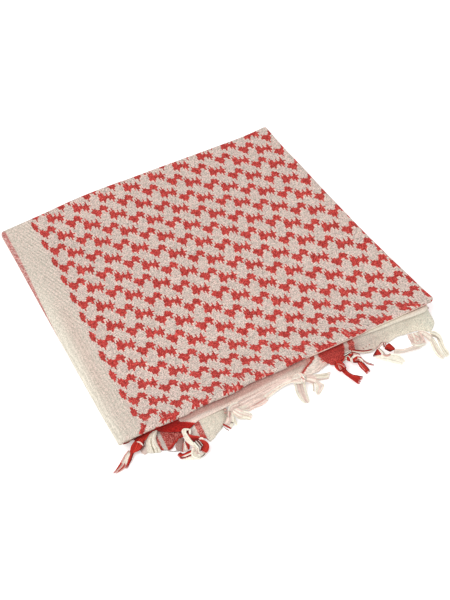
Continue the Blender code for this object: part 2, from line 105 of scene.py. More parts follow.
# The layer under the front fold: cloth position; x, y, z of its crest; x, y, z of its
# lower edge; 1 where it rolls under, 0 where it ends in a hem
SECOND = [
    (-171, -171, -166.5, 15.0, -170.7, -170.7, 10.5, 1),
    (-158, -158, -169.4, 15.0, -158.4, -171.7, 11.0, 1),
    (-146, -146, -172.6, 14.8, -147.2, -174.0, 11.0, 1),
    (-137, -137, -175.2, 14.6, -139.1, -174.6, 11.0, 1),
    (-131, -131, -176.0, 14.5, -132.2, -175.2, 10.5, 1), (-126, -126, -176.8, 14.5, -125.7, -179.5, 10.0, 1),
    (-121, -121, -177.6, 14.5, -117.0, -184.9, 9.6, 1), (-117, -117, -178.4, 14.5, -108.2, -188.2, 9.2, 1),
    (-113.5, -113.5, -179.2, 14.6, -100.9, -187.9, 9.0, 1), (-110, -110, -179.8, 14.8, -96.2, -185.9, 9.0, 1),
    (-105, -105, -180.4, 15.0, -92.7, -184.6, 9.0, 1), (-98, -98, -180.9, 15.0, -89.2, -183.8, 9.0, 1),
    (-90, -90, -181.2, 15.0, -84.9, -183.8, 9.0, 1),
    (-75, -75, -181.4, 15.0, -75, -184.0, 9.0, 1), (-55, -55, -181.4, 15.0, -55, -184.2, 9.0, 1),
    (-30, -30, -181.4, 15.0, -30, -184.2, 9.0, 1), (-5, -5, -181.2, 15.0, -5, -184.0, 9.0, 1),
    (15, 15, -181.0, 14.8, 12, -184.0, 8.5, 1), (30, 30, -180.8, 14.5, 21, -184.8, 6.5, 0.8),
    (41, 41, -180.6, 14.0, 25.6, -185.2, 5.0, 0.3), (46.5, 46.5, -180.6, 14.0, 28, -185.4, 4.4, 0),
    (47.4, 47.4, -180.7, 14.0, 31.6, -187.4, 2.0, 0),
    (48.6, 48.6, -180.9, 14.0, 39.2, -188.6, 2.0, 0),
    (49.8, 49.8, -181.0, 14.0, 47.5, -188.6, 2.0, 0),
    (51, 51, -181.2, 14.0, 57.9, -185.3, 2.2, 0),
    (60, 60, -182.6, 14.0, 60.5, -188.8, 2.4, 0),
    (68, 68, -183.6, 14.0, 67, -191.8, 2.2, 0), (76, 76, -184.4, 14.0, 73, -191.2, 2.2, 0),
    (82, 82, -185.0, 14.0, 77.5, -188.8, 2.4, 0), (85.5, 85.5, -185.2, 14.0, 83.5, -189.0, 2.4, 0),
    
    (91.5, 91.5, -185.4, 14.0, 91.3, -187.1, 2.2, 0),
    (96, 96, -185.8, 14.0, 95.1, -191.3, 1.8, 0),
    (101, 101, -186.1, 14.0, 100.3, -194.6, 1.8, 0),
    (106, 106, -186.4, 14.0, 106.9, -195.5, 1.8, 0),
    (116, 116, -186.8, 14.0, 116, -192.2, 1.8, 0),
    (127, 127, -187.2, 14.0, 127, -193.6, 1.8, 0), (137, 137, -187.6, 14.0, 137, -191.8, 1.8, 0),
    (145, 145, -188.0, 14.0, 145, -193.6, 1.8, 0), (160, 160, -189.0, 14.0, 160.6, -196.8, 1.8, 0),
    (170, 170, -189.5, 14.0, 169.5, -204.0, 1.8, 0), 
    (176, 174, -189.0, 14.0, 173.5, -203.0, 1.8, 0),
    (180, 176.4, -187.6, 14.0, 180.3, -196.6, 2.0, 0),
    (184, 179.4, -185.0, 14.0, 181.9, -189.2, 3.0, 0),

]
# Where the narrow roll under the front fold starts across, its width there, and what it gains
STRIP = (106.0, 3.5, 0.052)
# The fringed end of a lower layer: cloth position; x, y, z where it leaves the stack; of its hem
THIRD = [
    (-140, -138, -172.0, 9.0, -140.5, -190.4, 2.2), (-136, -136, -172.6, 9.0, -136.6, -193.3, 1.8),
    (-133, -133, -173.0, 9.0, -132.8, -195.6, 1.7), (-129, -128.6, -173.0, 9.0, -129.1, -197.2, 1.6),
    (-124, -123, -173.0, 8.8, -123.4, -194.3, 1.8), (-119, -117, -173.4, 8.6, -117.3, -191.5, 2.6),
    (-114, -111, -174.0, 8.6, -112.2, -190.5, 3.2), (-109.5, -105, -174.5, 8.6, -107.5, -192.6, 3.2),
    (-104, -100.5, -174.0, 8.6, -102.4, -196.0, 2.8), (-100, -97.6, -173.5, 8.6, -98.8, -198.8, 2.4),
    (-97, -95.5, -173.0, 8.6, -95.9, -201.1, 2.0), (-92.5, -91.5, -173.0, 8.6, -91.9, -204.2, 1.8),
    (-89, -88.5, -173.0, 8.6, -90.2, -209.2, 1.6), (-84, -84.5, -173.0, 8.6, -85.3, -207.8, 1.5),
    (-76, -76, -173.0, 8.6, -76.2, -202.2, 1.5), (-66, -66, -173.0, 8.6, -67.6, -196.4, 1.5),
    (-58, -58, -172.5, 8.0, -60.0, -186.9, 1.6),
]


# ---- small helpers -------------------------------------------------------------
def along(table, t, column=1):
    """Smooth value of a table's column at t (array), by a cubic through its rows."""
    t = np.asarray(t, float)
    xs = np.array([r[0] for r in table], float)
    ys = np.array([r[column] for r in table], float)
    t = np.clip(t, xs[0], xs[-1])
    k = np.clip(np.searchsorted(xs, t, side="right") - 1, 0, len(xs) - 2)
    m = np.empty_like(ys)
    m[1:-1] = (ys[2:] - ys[:-2]) / (xs[2:] - xs[:-2])
    m[0] = (ys[1] - ys[0]) / (xs[1] - xs[0])
    m[-1] = (ys[-1] - ys[-2]) / (xs[-1] - xs[-2])
    h = xs[k + 1] - xs[k]
    s = (t - xs[k]) / h
    return (ys[k] * (1 + 2 * s) * (1 - s) ** 2 + ys[k + 1] * s * s * (3 - 2 * s)
            + m[k] * h * s * (1 - s) ** 2 - m[k + 1] * h * s * s * (1 - s))


def plan(s, t):
    u, v = s / PANEL_W, t / PANEL_D
    x = along(LEFT_FOLD, v) * (1 - u) + along(RIGHT_FOLD, v) * u
    y = along(FRONT_FOLD, u) * (1 - v) + along(BACK_FOLD, u) * v
    return x, y


def top_height(x, y):
    front = FRONT_LIFT * np.clip(1 - (y - FRONT_Y) / FRONT_RUN, 0, 1.1) ** 2
    right = SIDE_LIFT * np.clip(1 - (RIGHT_X - x) / SIDE_RUN, 0, 1.1) ** 2
    back = BACK_LIFT * np.clip(1 - (BACK_Y - y) / BACK_RUN, 0, 1.1) ** 2
    return STACK + np.sqrt(front ** 2 + right ** 2 + back ** 2)


def waves(x, y, seed, scale, octaves=3):
    """Smooth repeatable unevenness from a few crossed sines, about -1 to 1."""
    rng = np.random.default_rng(seed)
    total, norm, amp = 0.0, 0.0, 1.0
    for _ in range(octaves):
        for _ in range(3):
            a, p, q = rng.uniform(0, TAU), rng.uniform(0, TAU), rng.uniform(0.75, 1.3)
            total = total + amp * np.sin((x * math.cos(a) + y * math.sin(a)) * TAU / scale * q + p)
            norm += amp * 0.75
        amp *= 0.5
        scale *= 0.52
    return total / norm


def ring_samples(per_long, per_side, per_corner):
    """Side, corners and angle of each point round the panel, starting at the front left."""
    corners = [("front_right", -90.0, 1, 0), ("back_right", 0.0, 1, 1),
               ("back_left", 90.0, 0, 1), ("front_left", 180.0, 0, 0)]
    normals = [(0, -1), (1, 0), (0, 1), (-1, 0)]
    rows = []
    for k, corner in enumerate(corners):
        n = (per_long, per_side)[k % 2]
        for i in range(1, n):
            rows.append((*normals[k], corners[k - 1], corner, i / n))
        for i in range(per_corner + 1):
            a = math.radians(corner[1] + 90.0 * i / per_corner)
            rows.append((math.cos(a), math.sin(a), corner, corner, 0.0))
    return rows


class Ring:
    """Rounded-rectangle loops of the panel, all with the same points."""

    def __init__(self, per_long=120, per_side=120, per_corner=14):
        rows = ring_samples(per_long, per_side, per_corner)
        self.nx = np.array([r[0] for r in rows])
        self.ny = np.array([r[1] for r in rows])
        self.w = {"left": np.clip(-self.nx, 0, 1) ** 2, "right": np.clip(self.nx, 0, 1) ** 2,
                  "front": np.clip(-self.ny, 0, 1) ** 2, "back": np.clip(self.ny, 0, 1) ** 2}
        self.c0 = [np.array([CORNER[r[2][0]] for r in rows]), np.array([r[2][2] for r in rows]),
                   np.array([r[2][3] for r in rows])]
        self.c1 = [np.array([CORNER[r[3][0]] for r in rows]), np.array([r[3][2] for r in rows]),
                   np.array([r[3][3] for r in rows])]
        self.f = np.array([r[4] for r in rows])
        self.n = len(rows)

    def blend(self, values):
        return sum(self.w[k] * values[k] for k in SIDES)

    def at(self, d, shrink=False):
        d = np.broadcast_to(np.asarray(d, float), (self.n,))

        def centre(c):
            r = c[0] + 0.3 * d
            if shrink:
                r = np.minimum(r, 0.85 * (PANEL_W / 2 - d) + 0.3)
            return (np.where(c[1] == 1, PANEL_W - d - r, d + r),
                    np.where(c[2] == 1, PANEL_D - d - r, d + r), r)

        ax, ay, ar = centre(self.c0)
        bx, by, br = centre(self.c1)
        s = (ax + self.nx * ar) * (1 - self.f) + (bx + self.nx * br) * self.f
        t = (ay + self.ny * ar) * (1 - self.f) + (by + self.ny * br) * self.f
        x, y = plan(s, t)
        return x, y, t / PANEL_D


def cloth_at(x, y):
    """Cloth coordinates, in repeats, of a flat place on the panel."""
    x, y = x / 100.0, y / 100.0
    i = sum(a * x ** p * y ** q for p, q, a, b in CLOTH)
    j = sum(b * x ** p * y ** q for p, q, a, b in CLOTH)
    return i, j


def make_object(name, points, faces, material, uv=None, smooth=True, edge=None):
    """Mesh object from working-frame points in mm; uv and edge are one pair per point."""
    mesh = bpy.data.meshes.new(name)
    pts = np.asarray(points, float)
    world = np.column_stack([(pts[:, 0] - ORIGIN[0]) * MM, (pts[:, 1] - ORIGIN[1]) * MM, pts[:, 2] * MM])
    mesh.from_pydata(world.tolist(), [], [tuple(int(i) for i in f) for f in faces])
    loops = np.empty(len(mesh.loops), dtype=np.int32)
    mesh.loops.foreach_get("vertex_index", loops)
    for layer_name, values in (("UVMap", uv), ("Edge", edge)):
        if values is not None:
            layer = mesh.uv_layers.new(name=layer_name)
            layer.data.foreach_set("uv", np.asarray(values, np.float32)[loops].ravel())
    mesh.materials.append(material)
    if smooth:
        mesh.shade_smooth()
    mesh.update()
    obj = bpy.data.objects.new(name, mesh)
    bpy.context.scene.collection.objects.link(obj)
    return obj


def grid_faces(rows, columns, closed=True, base=0):
    faces = []
    last = columns if closed else columns - 1
    for r in range(rows - 1):
        for c in range(last):
            a, b = base + r * columns + c, base + r * columns + (c + 1) % columns
            faces.append((a, b, b + columns, a + columns))
    return faces


# ---- materials -------------------------------------------------------------------
class Nodes:
    """Short hand for building a shader tree."""

    def __init__(self, tree):
        self.tree = tree

    def link(self, socket, value):
        if isinstance(value, bpy.types.NodeSocket):
            self.tree.links.new(value, socket)
        else:
            socket.default_value = value

    def math(self, op, a, b=None, c=None, clamp=False):
        node = self.tree.nodes.new("ShaderNodeMath")
        node.operation = op
        node.use_clamp = clamp
        for socket, value in zip(node.inputs, (a, b, c)):
            if value is not None:
                self.link(socket, value)
        return node.outputs[0]

    def combine(self, x, y, z=0.0):
        node = self.tree.nodes.new("ShaderNodeCombineXYZ")
        for socket, value in zip(node.inputs, (x, y, z)):
            self.link(socket, value)
        return node.outputs[0]

    def separate(self, vector):
        node = self.tree.nodes.new("ShaderNodeSeparateXYZ")
        self.link(node.inputs[0], vector)
        return node.outputs

    def noise(self, vector, scale, detail=2.0, rough=0.5, dims="3D"):
        node = self.tree.nodes.new("ShaderNodeTexNoise")
        node.noise_dimensions = dims
        self.link(node.inputs["Vector"], vector)
        self.link(node.inputs["Scale"], scale)
        node.inputs["Detail"].default_value = detail
        node.inputs["Roughness"].default_value = rough
        return node.outputs[0]

    def white(self, vector):
        node = self.tree.nodes.new("ShaderNodeTexWhiteNoise")
        node.noise_dimensions = "3D"
        self.link(node.inputs["Vector"], vector)
        return node.outputs["Value"]

    def mix(self, factor, a, b, blend="MIX"):
        node = self.tree.nodes.new("ShaderNodeMix")
        node.data_type = "RGBA"
        node.blend_type = blend
        node.clamp_factor = True
        self.link(node.inputs["Factor"], factor)
        for socket, value in ((node.inputs["A"], a), (node.inputs["B"], b)):
            pass
        colour = [s for s in node.inputs if s.type == "RGBA"]
        self.link(colour[0], a if isinstance(a, bpy.types.NodeSocket) else (*a, 1.0))
        self.link(colour[1], b if isinstance(b, bpy.types.NodeSocket) else (*b, 1.0))
        return [s for s in node.outputs if s.type == "RGBA"][0]

    def ramp(self, value, lo, hi):
        """Clamped smooth step of value from lo to hi."""
        node = self.tree.nodes.new("ShaderNodeMapRange")
        node.interpolation_type = "SMOOTHSTEP"
        node.clamp = True
        self.link(node.inputs["Value"], value)
        self.link(node.inputs["From Min"], lo)
        self.link(node.inputs["From Max"], hi)
        return node.outputs[0]

    def band(self, value, lo, hi, soft):
        """1 where value is between lo and hi, with soft edges."""
        return self.math("MULTIPLY", self.ramp(value, lo - soft, lo + soft),
                         self.math("SUBTRACT", 1.0, self.ramp(value, hi - soft, hi + soft)))

    def table(self, value, columns):
        """Look up rows of three numbers at value 0 to 1, in equal constant steps."""
        node = self.tree.nodes.new("ShaderNodeValToRGB")
        ramp = node.color_ramp
        ramp.interpolation = "CONSTANT"
        n = len(columns)
        while len(ramp.elements) > 1:
            ramp.elements.remove(ramp.elements[-1])
        ramp.elements[0].position = 0.0
        ramp.elements[0].color = (*columns[0], 1.0)
        for k in range(1, n):
            e = ramp.elements.new(k / n)
            e.color = (*columns[k], 1.0)
        self.link(node.inputs[0], value)
        split = self.tree.nodes.new("ShaderNodeSeparateColor")
        self.tree.links.new(node.outputs["Color"], split.inputs[0])
        return split.outputs


def figure_group():
    """Node group: U, V in repeats -> 1 inside a red float, 0 outside."""
    tree = bpy.data.node_groups.new("woven_figure", "ShaderNodeTree")
    for name in ("U", "V", "Grow"):
        tree.interface.new_socket(name, in_out="INPUT", socket_type="NodeSocketFloat")
    tree.interface.new_socket("Mask", in_out="OUTPUT", socket_type="NodeSocketFloat")
    gin = tree.nodes.new("NodeGroupInput")
    gout = tree.nodes.new("NodeGroupOutput")
    n = Nodes(tree)
    u, v, grow = gin.outputs[0], gin.outputs[1], gin.outputs[2]
    across = n.math("MULTIPLY", u, 24.0)
    column = n.math("FLOOR", across)
    centre = n.math("DIVIDE", n.math("ADD", n.math("FLOORED_MODULO", column, 24.0), 0.5), 24.0)
    a = n.table(centre, [((r[1] % 24) / 24, (r[2] - r[1]) / 24, (r[3] % 24) / 24) for r in FIGURE])
    b = n.table(centre, [((r[4] - r[3]) / 24, 0.0, 0.0) for r in FIGURE])
    wobble = n.math("MULTIPLY", n.math("SUBTRACT", n.noise(
        n.combine(n.math("MULTIPLY", column, 0.731), n.math("MULTIPLY", v, 3.0)), 1.0, 1.0, 0.5, "2D"), 0.5), 0.050)
    down = n.math("ADD", n.math("SUBTRACT", 1.0, n.math("FRACT", v)), wobble)
    # floats taper a little towards the edges of their column
    edge = n.math("ABSOLUTE", n.math("SUBTRACT", n.math("FRACT", across), 0.5))
    taper = n.math("MULTIPLY", n.math("POWER", n.math("MULTIPLY", edge, 2.0), 3.0), 0.016)
    depth = None
    for top, length in ((a[0], a[1]), (a[2], b[0])):
        d = n.math("FRACT", n.math("ADD", n.math("SUBTRACT", down, top), 0.5))
        d = n.math("SUBTRACT", d, 0.5)                       # -0.5..0.5 around the top
        full = n.math("FRACT", n.math("SUBTRACT", down, top))  # 0..1 below the top
        inside = n.math("MINIMUM", full, n.math("SUBTRACT", length, full))
        # just above the top, distance to it is negative and small
        above = n.math("MINIMUM", d, n.math("SUBTRACT", length, full))
        value = n.math("MAXIMUM", inside, above)
        value = n.math("ADD", value, n.math("MULTIPLY", n.math("LESS_THAN", length, 0.001), -1.0))
        depth = value if depth is None else n.math("MAXIMUM", depth, value)
    depth = n.math("ADD", n.math("SUBTRACT", depth, taper), grow)
    n.link(gout.inputs[0], n.ramp(depth, -0.006, 0.010))
    return tree


FIGURE_TREE = figure_group()

RED = (0.488, 0.047, 0.041)
RED_DARK = (0.372, 0.033, 0.0285)
GROUND = (0.548, 0.440, 0.392)
GROUND_PINK = (0.612, 0.430, 0.402)
GROUND_GREY = (0.484, 0.452, 0.380)
HALO = (0.720, 0.510, 0.440)
BAND_DARK = (0.500, 0.472, 0.402)
BAND_LIGHT = (0.635, 0.516, 0.446)
RIM = (0.730, 0.685, 0.580)
LIP = (0.700, 0.635, 0.535)


def principled(name, rough=0.95, sheen=0.04):
    material = bpy.data.materials.new(name)
    material.use_nodes = True
    shader = material.node_tree.nodes["Principled BSDF"]
    shader.inputs["Roughness"].default_value = rough
    shader.inputs["Specular IOR Level"].default_value = 0.08
    shader.inputs["Sheen Weight"].default_value = sheen
    shader.inputs["Sheen Roughness"].default_value = 0.6
    shader.inputs["Sheen Tint"].default_value = (1.0, 0.96, 0.92, 1.0)
    return material, Nodes(material.node_tree), shader


def figure(n, u, v, grow=0.0):
    node = n.tree.nodes.new("ShaderNodeGroup")
    node.node_tree = FIGURE_TREE
    n.link(node.inputs["U"], u)
    n.link(node.inputs["V"], v)
    n.link(node.inputs["Grow"], grow)
    return node.outputs[0]


def uv_of(n):
    node = n.tree.nodes.new("ShaderNodeUVMap")
    node.uv_map = "UVMap"
    s = n.separate(node.outputs[0])
    return s[0], s[1]


def weave_height(n, u, v, per=48.0):
    """Plain weave: threads across and along, over and under by turns."""
    a, b = n.math("MULTIPLY", u, per), n.math("MULTIPLY", v, per)
    wa = n.math("SINE", n.math("MULTIPLY", a, math.pi))
    wb = n.math("SINE", n.math("MULTIPLY", b, math.pi))
    return n.math("MULTIPLY", wa, wb)


def bump(n, shader, height, distance, strength=1.0):
    node = n.tree.nodes.new("ShaderNodeBump")
    node.inputs["Strength"].default_value = strength
    node.inputs["Distance"].default_value = distance
    n.link(node.inputs["Height"], height)
    n.tree.links.new(node.outputs[0], shader.inputs["Normal"])


def grain(n, a, b, seed=0.0):
    """Thread-scale unevenness at a, b counted in threads: a value about 0, and three masks."""
    cell = n.white(n.combine(n.math("FLOOR", a), n.math("FLOOR", b), 1.0 + seed))
    half = n.white(n.combine(n.math("FLOOR", n.math("MULTIPLY", a, 2.1)),
                             n.math("FLOOR", n.math("MULTIPLY", b, 1.8)), 2.0 + seed))
    hue = n.white(n.combine(n.math("FLOOR", n.math("MULTIPLY", a, 1.6)),
                            n.math("FLOOR", n.math("MULTIPLY", b, 1.4)), 5.0 + seed))
    lattice = n.math("MULTIPLY", n.math("SINE", n.math("MULTIPLY", a, TAU * 0.75)),
                     n.math("SINE", n.math("MULTIPLY", b, TAU * 0.75)))
    value = n.math("ADD", n.math("MULTIPLY", n.math("SUBTRACT", cell, 0.5), 0.20),
                   n.math("MULTIPLY", n.math("SUBTRACT", half, 0.5), 0.95))
    value = n.math("ADD", value, n.math("MULTIPLY", lattice, 0.09))
    return value, cell, half, hue


def shade(n, colour, value):
    """Colour times 1 plus value."""
    node = n.tree.nodes.new("ShaderNodeVectorMath")
    node.operation = "SCALE"
    n.link(node.inputs[0], colour if isinstance(colour, bpy.types.NodeSocket) else tuple(colour))
    n.link(node.inputs["Scale"], n.math("ADD", value, 1.0))
    return node.outputs[0]


def edge_of(n):
    node = n.tree.nodes.new("ShaderNodeUVMap")
    node.uv_map = "Edge"
    s = n.separate(node.outputs[0])
    return s[0], s[1]


def patterned_material():
    material, n, shader = principled("patterned_cloth")
    u, v = uv_of(n)
    arc, px = edge_of(n)
    # the cloth is drawn tighter over the front fold towards the right
    tight = n.math("ADD", n.math("MULTIPLY", n.ramp(px, -60.0, -15.0), 0.07), n.math("MULTIPLY", n.ramp(px, 70.0, 105.0), 0.08))
    v = n.math("ADD", v, n.math("MULTIPLY", tight, n.ramp(arc, -13.0, 5.0)))
    # slight drift of the threads, so rows are not ruler straight
    drift = n.noise(n.combine(u, v), 0.9, 2.0, 0.5, "2D")
    drift2 = n.noise(n.combine(v, u, 3.0), 0.8, 2.0, 0.5, "2D")
    uu = n.math("ADD", u, n.math("MULTIPLY", n.math("SUBTRACT", drift, 0.5), 0.035))
    vv = n.math("ADD", v, n.math("MULTIPLY", n.math("SUBTRACT", drift2, 0.5), 0.045))
    ta, tb = n.math("MULTIPLY", uu, 24.0), n.math("MULTIPLY", vv, 24.0)
    value, cell, half, hue = grain(n, ta, tb)
    # near the front fold the floats are pulled long, with pale gaps along the threads
    pulled = n.ramp(arc, -13.0, -4.0)
    comb = n.white(n.combine(n.math("FLOOR", ta), n.math("FLOOR", n.math("MULTIPLY", vv, 1.6)), 8.0))
    pulled = n.math("MULTIPLY", pulled, n.math("ADD", n.math("MULTIPLY", n.ramp(px, 84.0, 60.0), 0.6), 0.4))
    reach = n.math("MULTIPLY", n.math("MULTIPLY", n.math("SUBTRACT", comb, 0.30), 0.17), pulled)
    grow = n.math("ADD", reach, 0.012)
    field = n.ramp(uu, 1.246, 1.254)
    red = n.math("MULTIPLY", figure(n, uu, vv, grow), field)
    # the selvedge side of the field ends in a line of short leaves, four columns wide
    place = n.math("DIVIDE", n.math("ADD", n.math("FLOOR", ta), 0.5), 24.0)
    off = n.math("DIVIDE", n.math("SUBTRACT", place, 1.208), 0.0754)
    reach2 = n.math("SUBTRACT", 1.0, n.math("MULTIPLY", off, off))
    reach2 = n.math("MULTIPLY", n.math("SQRT", n.math("MAXIMUM", reach2, 0.0)), 0.290)
    uneven = n.math("MULTIPLY", n.math("SUBTRACT", n.white(n.combine(
        n.math("FLOOR", ta), n.math("FLOOR", n.math("ADD", vv, 0.585)), 6.0)), 0.5), 0.09)
    away = n.math("ABSOLUTE", n.math("ADD", n.math("SUBTRACT", n.math("FRACT", n.math("ADD", vv, 0.585)), 0.5), uneven))
    leaf = n.math("MULTIPLY", n.ramp(n.math("SUBTRACT", reach2, away), -0.012, 0.012),
                  n.math("MULTIPLY", n.ramp(uu, 1.120, 1.130), n.ramp(uu, 1.292, 1.288)))
    red = n.math("MAXIMUM", red, leaf)
    gaps = n.math("MULTIPLY", n.math("MULTIPLY", n.math("LESS_THAN", comb, 0.14), pulled), 0.45)
    red = n.math("MULTIPLY", red, n.math("SUBTRACT", 1.0, gaps))
    wide = None
    for ou, ov in ((0.034, 0.0), (-0.034, 0.0), (0.0, 0.0)):
        m = figure(n, n.math("ADD", uu, ou), n.math("ADD", vv, ov), 0.040)
        wide = m if wide is None else n.math("ADD", wide, m)
    near = n.ramp(u, 1.14, 1.22)
    halo = n.math("MULTIPLY", n.math("MULTIPLY", wide, 0.3333), near)
    # ground: beige threads with fine pink and grey specks and faint warp grooves
    ground = n.mix(hue, GROUND_GREY, GROUND_PINK)
    ground = n.mix(0.30, ground, GROUND)
    ground = n.mix(n.math("MULTIPLY", n.math("GREATER_THAN", cell, 0.82), 0.30), ground, (0.64, 0.40, 0.35))
    ground = n.mix(n.math("MULTIPLY", n.math("LESS_THAN", cell, 0.16), 0.24), ground, (0.46, 0.44, 0.35))
    ground = n.mix(n.math("MULTIPLY", halo, 0.85), ground, HALO)
    # plain band beside the field, creamier towards the fold
    plain = n.mix(hue, BAND_DARK, BAND_LIGHT)
    plain = n.mix(n.math("MULTIPLY", n.math("GREATER_THAN", cell, 0.88), 0.22), plain, (0.62, 0.43, 0.37))
    rosy = n.math("MULTIPLY", n.band(u, 0.50, 0.92, 0.16), n.band(v, 2.4, 6.6, 1.0))
    plain = n.mix(n.math("MULTIPLY", rosy, 0.55), plain, (0.560, 0.440, 0.375))
    plain = n.mix(n.math("MULTIPLY", n.math("GREATER_THAN", half, 0.80), 0.34), plain, (0.640, 0.452, 0.425))
    plain = n.mix(n.math("MULTIPLY", n.math("LESS_THAN", half, 0.20), 0.30), plain, (0.450, 0.470, 0.352))
    rim = n.math("MULTIPLY", n.ramp(u, 0.80, 0.28), n.ramp(v, 10.5, 3.5))
    plain = n.mix(rim, plain, RIM)
    base = n.mix(n.ramp(u, 1.02, 1.24), plain, ground)
    # fine rows: across the ground, and slanting where the band is
    rows = n.math("SINE", n.math("MULTIPLY", n.math("ADD", uu, n.math("MULTIPLY", vv, 0.42)), TAU * 15.0))
    # the plain band shows coarser lines: slanting at the back, along the threads in front
    slant = n.math("SINE", n.math("MULTIPLY", n.math("ADD", n.math("MULTIPLY", u, 8.1), n.math("MULTIPLY", v, 3.1)), TAU))
    wander = n.noise(n.combine(n.math("MULTIPLY", u, 2.0), n.math("MULTIPLY", v, 0.7), 9.0), 1.6, 2.0, 0.5, "2D")
    thread = n.math("SINE", n.math("MULTIPLY", n.math("ADD", n.math("ADD", u, n.math("MULTIPLY", v, 0.05)),
                                                    n.math("MULTIPLY", wander, 0.22)), TAU * 9.6))
    near = n.math("ADD", n.math("MULTIPLY", n.ramp(u, 0.50, 0.95), 0.08), 0.065)
    lines = n.math("ADD", n.math("MULTIPLY", n.math("MULTIPLY", slant, n.ramp(v, 4.5, 6.5)), near),
                   n.math("MULTIPLY", n.math("MULTIPLY", thread, n.ramp(v, 6.5, 4.5)), 0.105))
    lines = n.math("MULTIPLY", lines, n.math("ADD", n.noise(n.combine(u, v), 2.2, 2.0, 0.5, "2D"), 0.35))
    rows = n.math("MULTIPLY", rows, 0.09)
    aside = n.ramp(u, 1.22, 1.08)
    rows = n.math("ADD", n.math("MULTIPLY", rows, n.math("SUBTRACT", 1.0, aside)), n.math("MULTIPLY", lines, aside))
    groove = n.math("COSINE", n.math("MULTIPLY", ta, TAU))
    groove = n.math("MULTIPLY", n.math("MAXIMUM", n.math("MULTIPLY", groove, -1.0), 0.0), -0.10)
    calm = n.math("SUBTRACT", 1.0, n.math("MULTIPLY", n.ramp(u, 1.24, 1.02), n.math("ADD", n.math("MULTIPLY", n.ramp(v, 6.5, 4.5), 0.12), 0.36)))
    calm = n.math("MULTIPLY", calm, n.math("SUBTRACT", 1.0, n.math("MULTIPLY", rim, 0.45)))
    base = shade(n, base, n.math("ADD", n.math("ADD", n.math("MULTIPLY", value, calm), groove), rows))
    # red floats, each column its own shade, darker between columns
    column = n.white(n.combine(n.math("FLOOR", ta), n.math("FLOOR", n.math("MULTIPLY", vv, 2.0)), 9.0))
    redc = n.mix(column, RED_DARK, RED)
    redc = n.mix(n.math("MULTIPLY", n.math("GREATER_THAN", half, 0.86), 0.40), redc, (0.60, 0.15, 0.12))
    redc = shade(n, redc, n.math("ADD", n.math("MULTIPLY", value, 1.05), n.math("MULTIPLY", groove, 2.2)))
    colour = n.mix(red, base, redc)
    # border stripes on the selvedge side of the plain band
    thin = n.band(u, 0.078, 0.222, 0.012)
    dense = n.band(u, -0.93, -0.10, 0.012)
    thin2 = n.band(u, -1.26, -1.12, 0.012)
    stripes = n.math("ADD", n.math("ADD", thin, dense), thin2, clamp=True)
    woven = n.mix(n.math("MULTIPLY", n.math("GREATER_THAN", cell, 0.60), 0.50), (0.46, 0.075, 0.062), (0.70, 0.36, 0.32))
    faded = n.mix(n.math("MULTIPLY", n.math("GREATER_THAN", cell, 0.55), 0.50), (0.43, 0.135, 0.125), (0.66, 0.46, 0.42))
    woven = n.mix(thin, woven, faded)
    woven = shade(n, woven, n.math("MULTIPLY", value, 0.8))
    colour = n.mix(n.math("MULTIPLY", stripes, 0.90), colour, woven)
    # painted highlight: a pale line painted along the lowest part of the fold, where the fold catches light
    start = n.math("ADD", 6.7, n.math("MULTIPLY", n.ramp(px, 116.0, 98.0), 1.7))
    lip_highlight = n.ramp(n.math("SUBTRACT", arc, start), -0.4, 0.4)
    lip_highlight = n.math("MULTIPLY", lip_highlight, n.math("MULTIPLY", n.ramp(px, 30.0, 45.0), n.ramp(px, 179.0, 173.0)))
    lip_highlight = n.math("MULTIPLY", lip_highlight, 0.85)
    cream = n.mix(n.ramp(px, 98.0, 112.0), (0.84, 0.60, 0.51), (0.98, 0.86, 0.74))
    cream = n.mix(n.ramp(px, 150.0, 160.0), cream, (0.86, 0.56, 0.49))
    cream = shade(n, cream, n.math("MULTIPLY", value, 0.35))
    colour = n.mix(lip_highlight, colour, cream)
    n.link(shader.inputs["Base Color"], colour)
    height = n.math("ADD", n.math("MULTIPLY", weave_height(n, uu, vv), 0.35),
                    n.math("MULTIPLY", red, 0.8))
    bump(n, shader, height, 0.00022, 0.8)
    return material


def object_coords(n):
    return n.tree.nodes.new("ShaderNodeTexCoord").outputs["Object"]


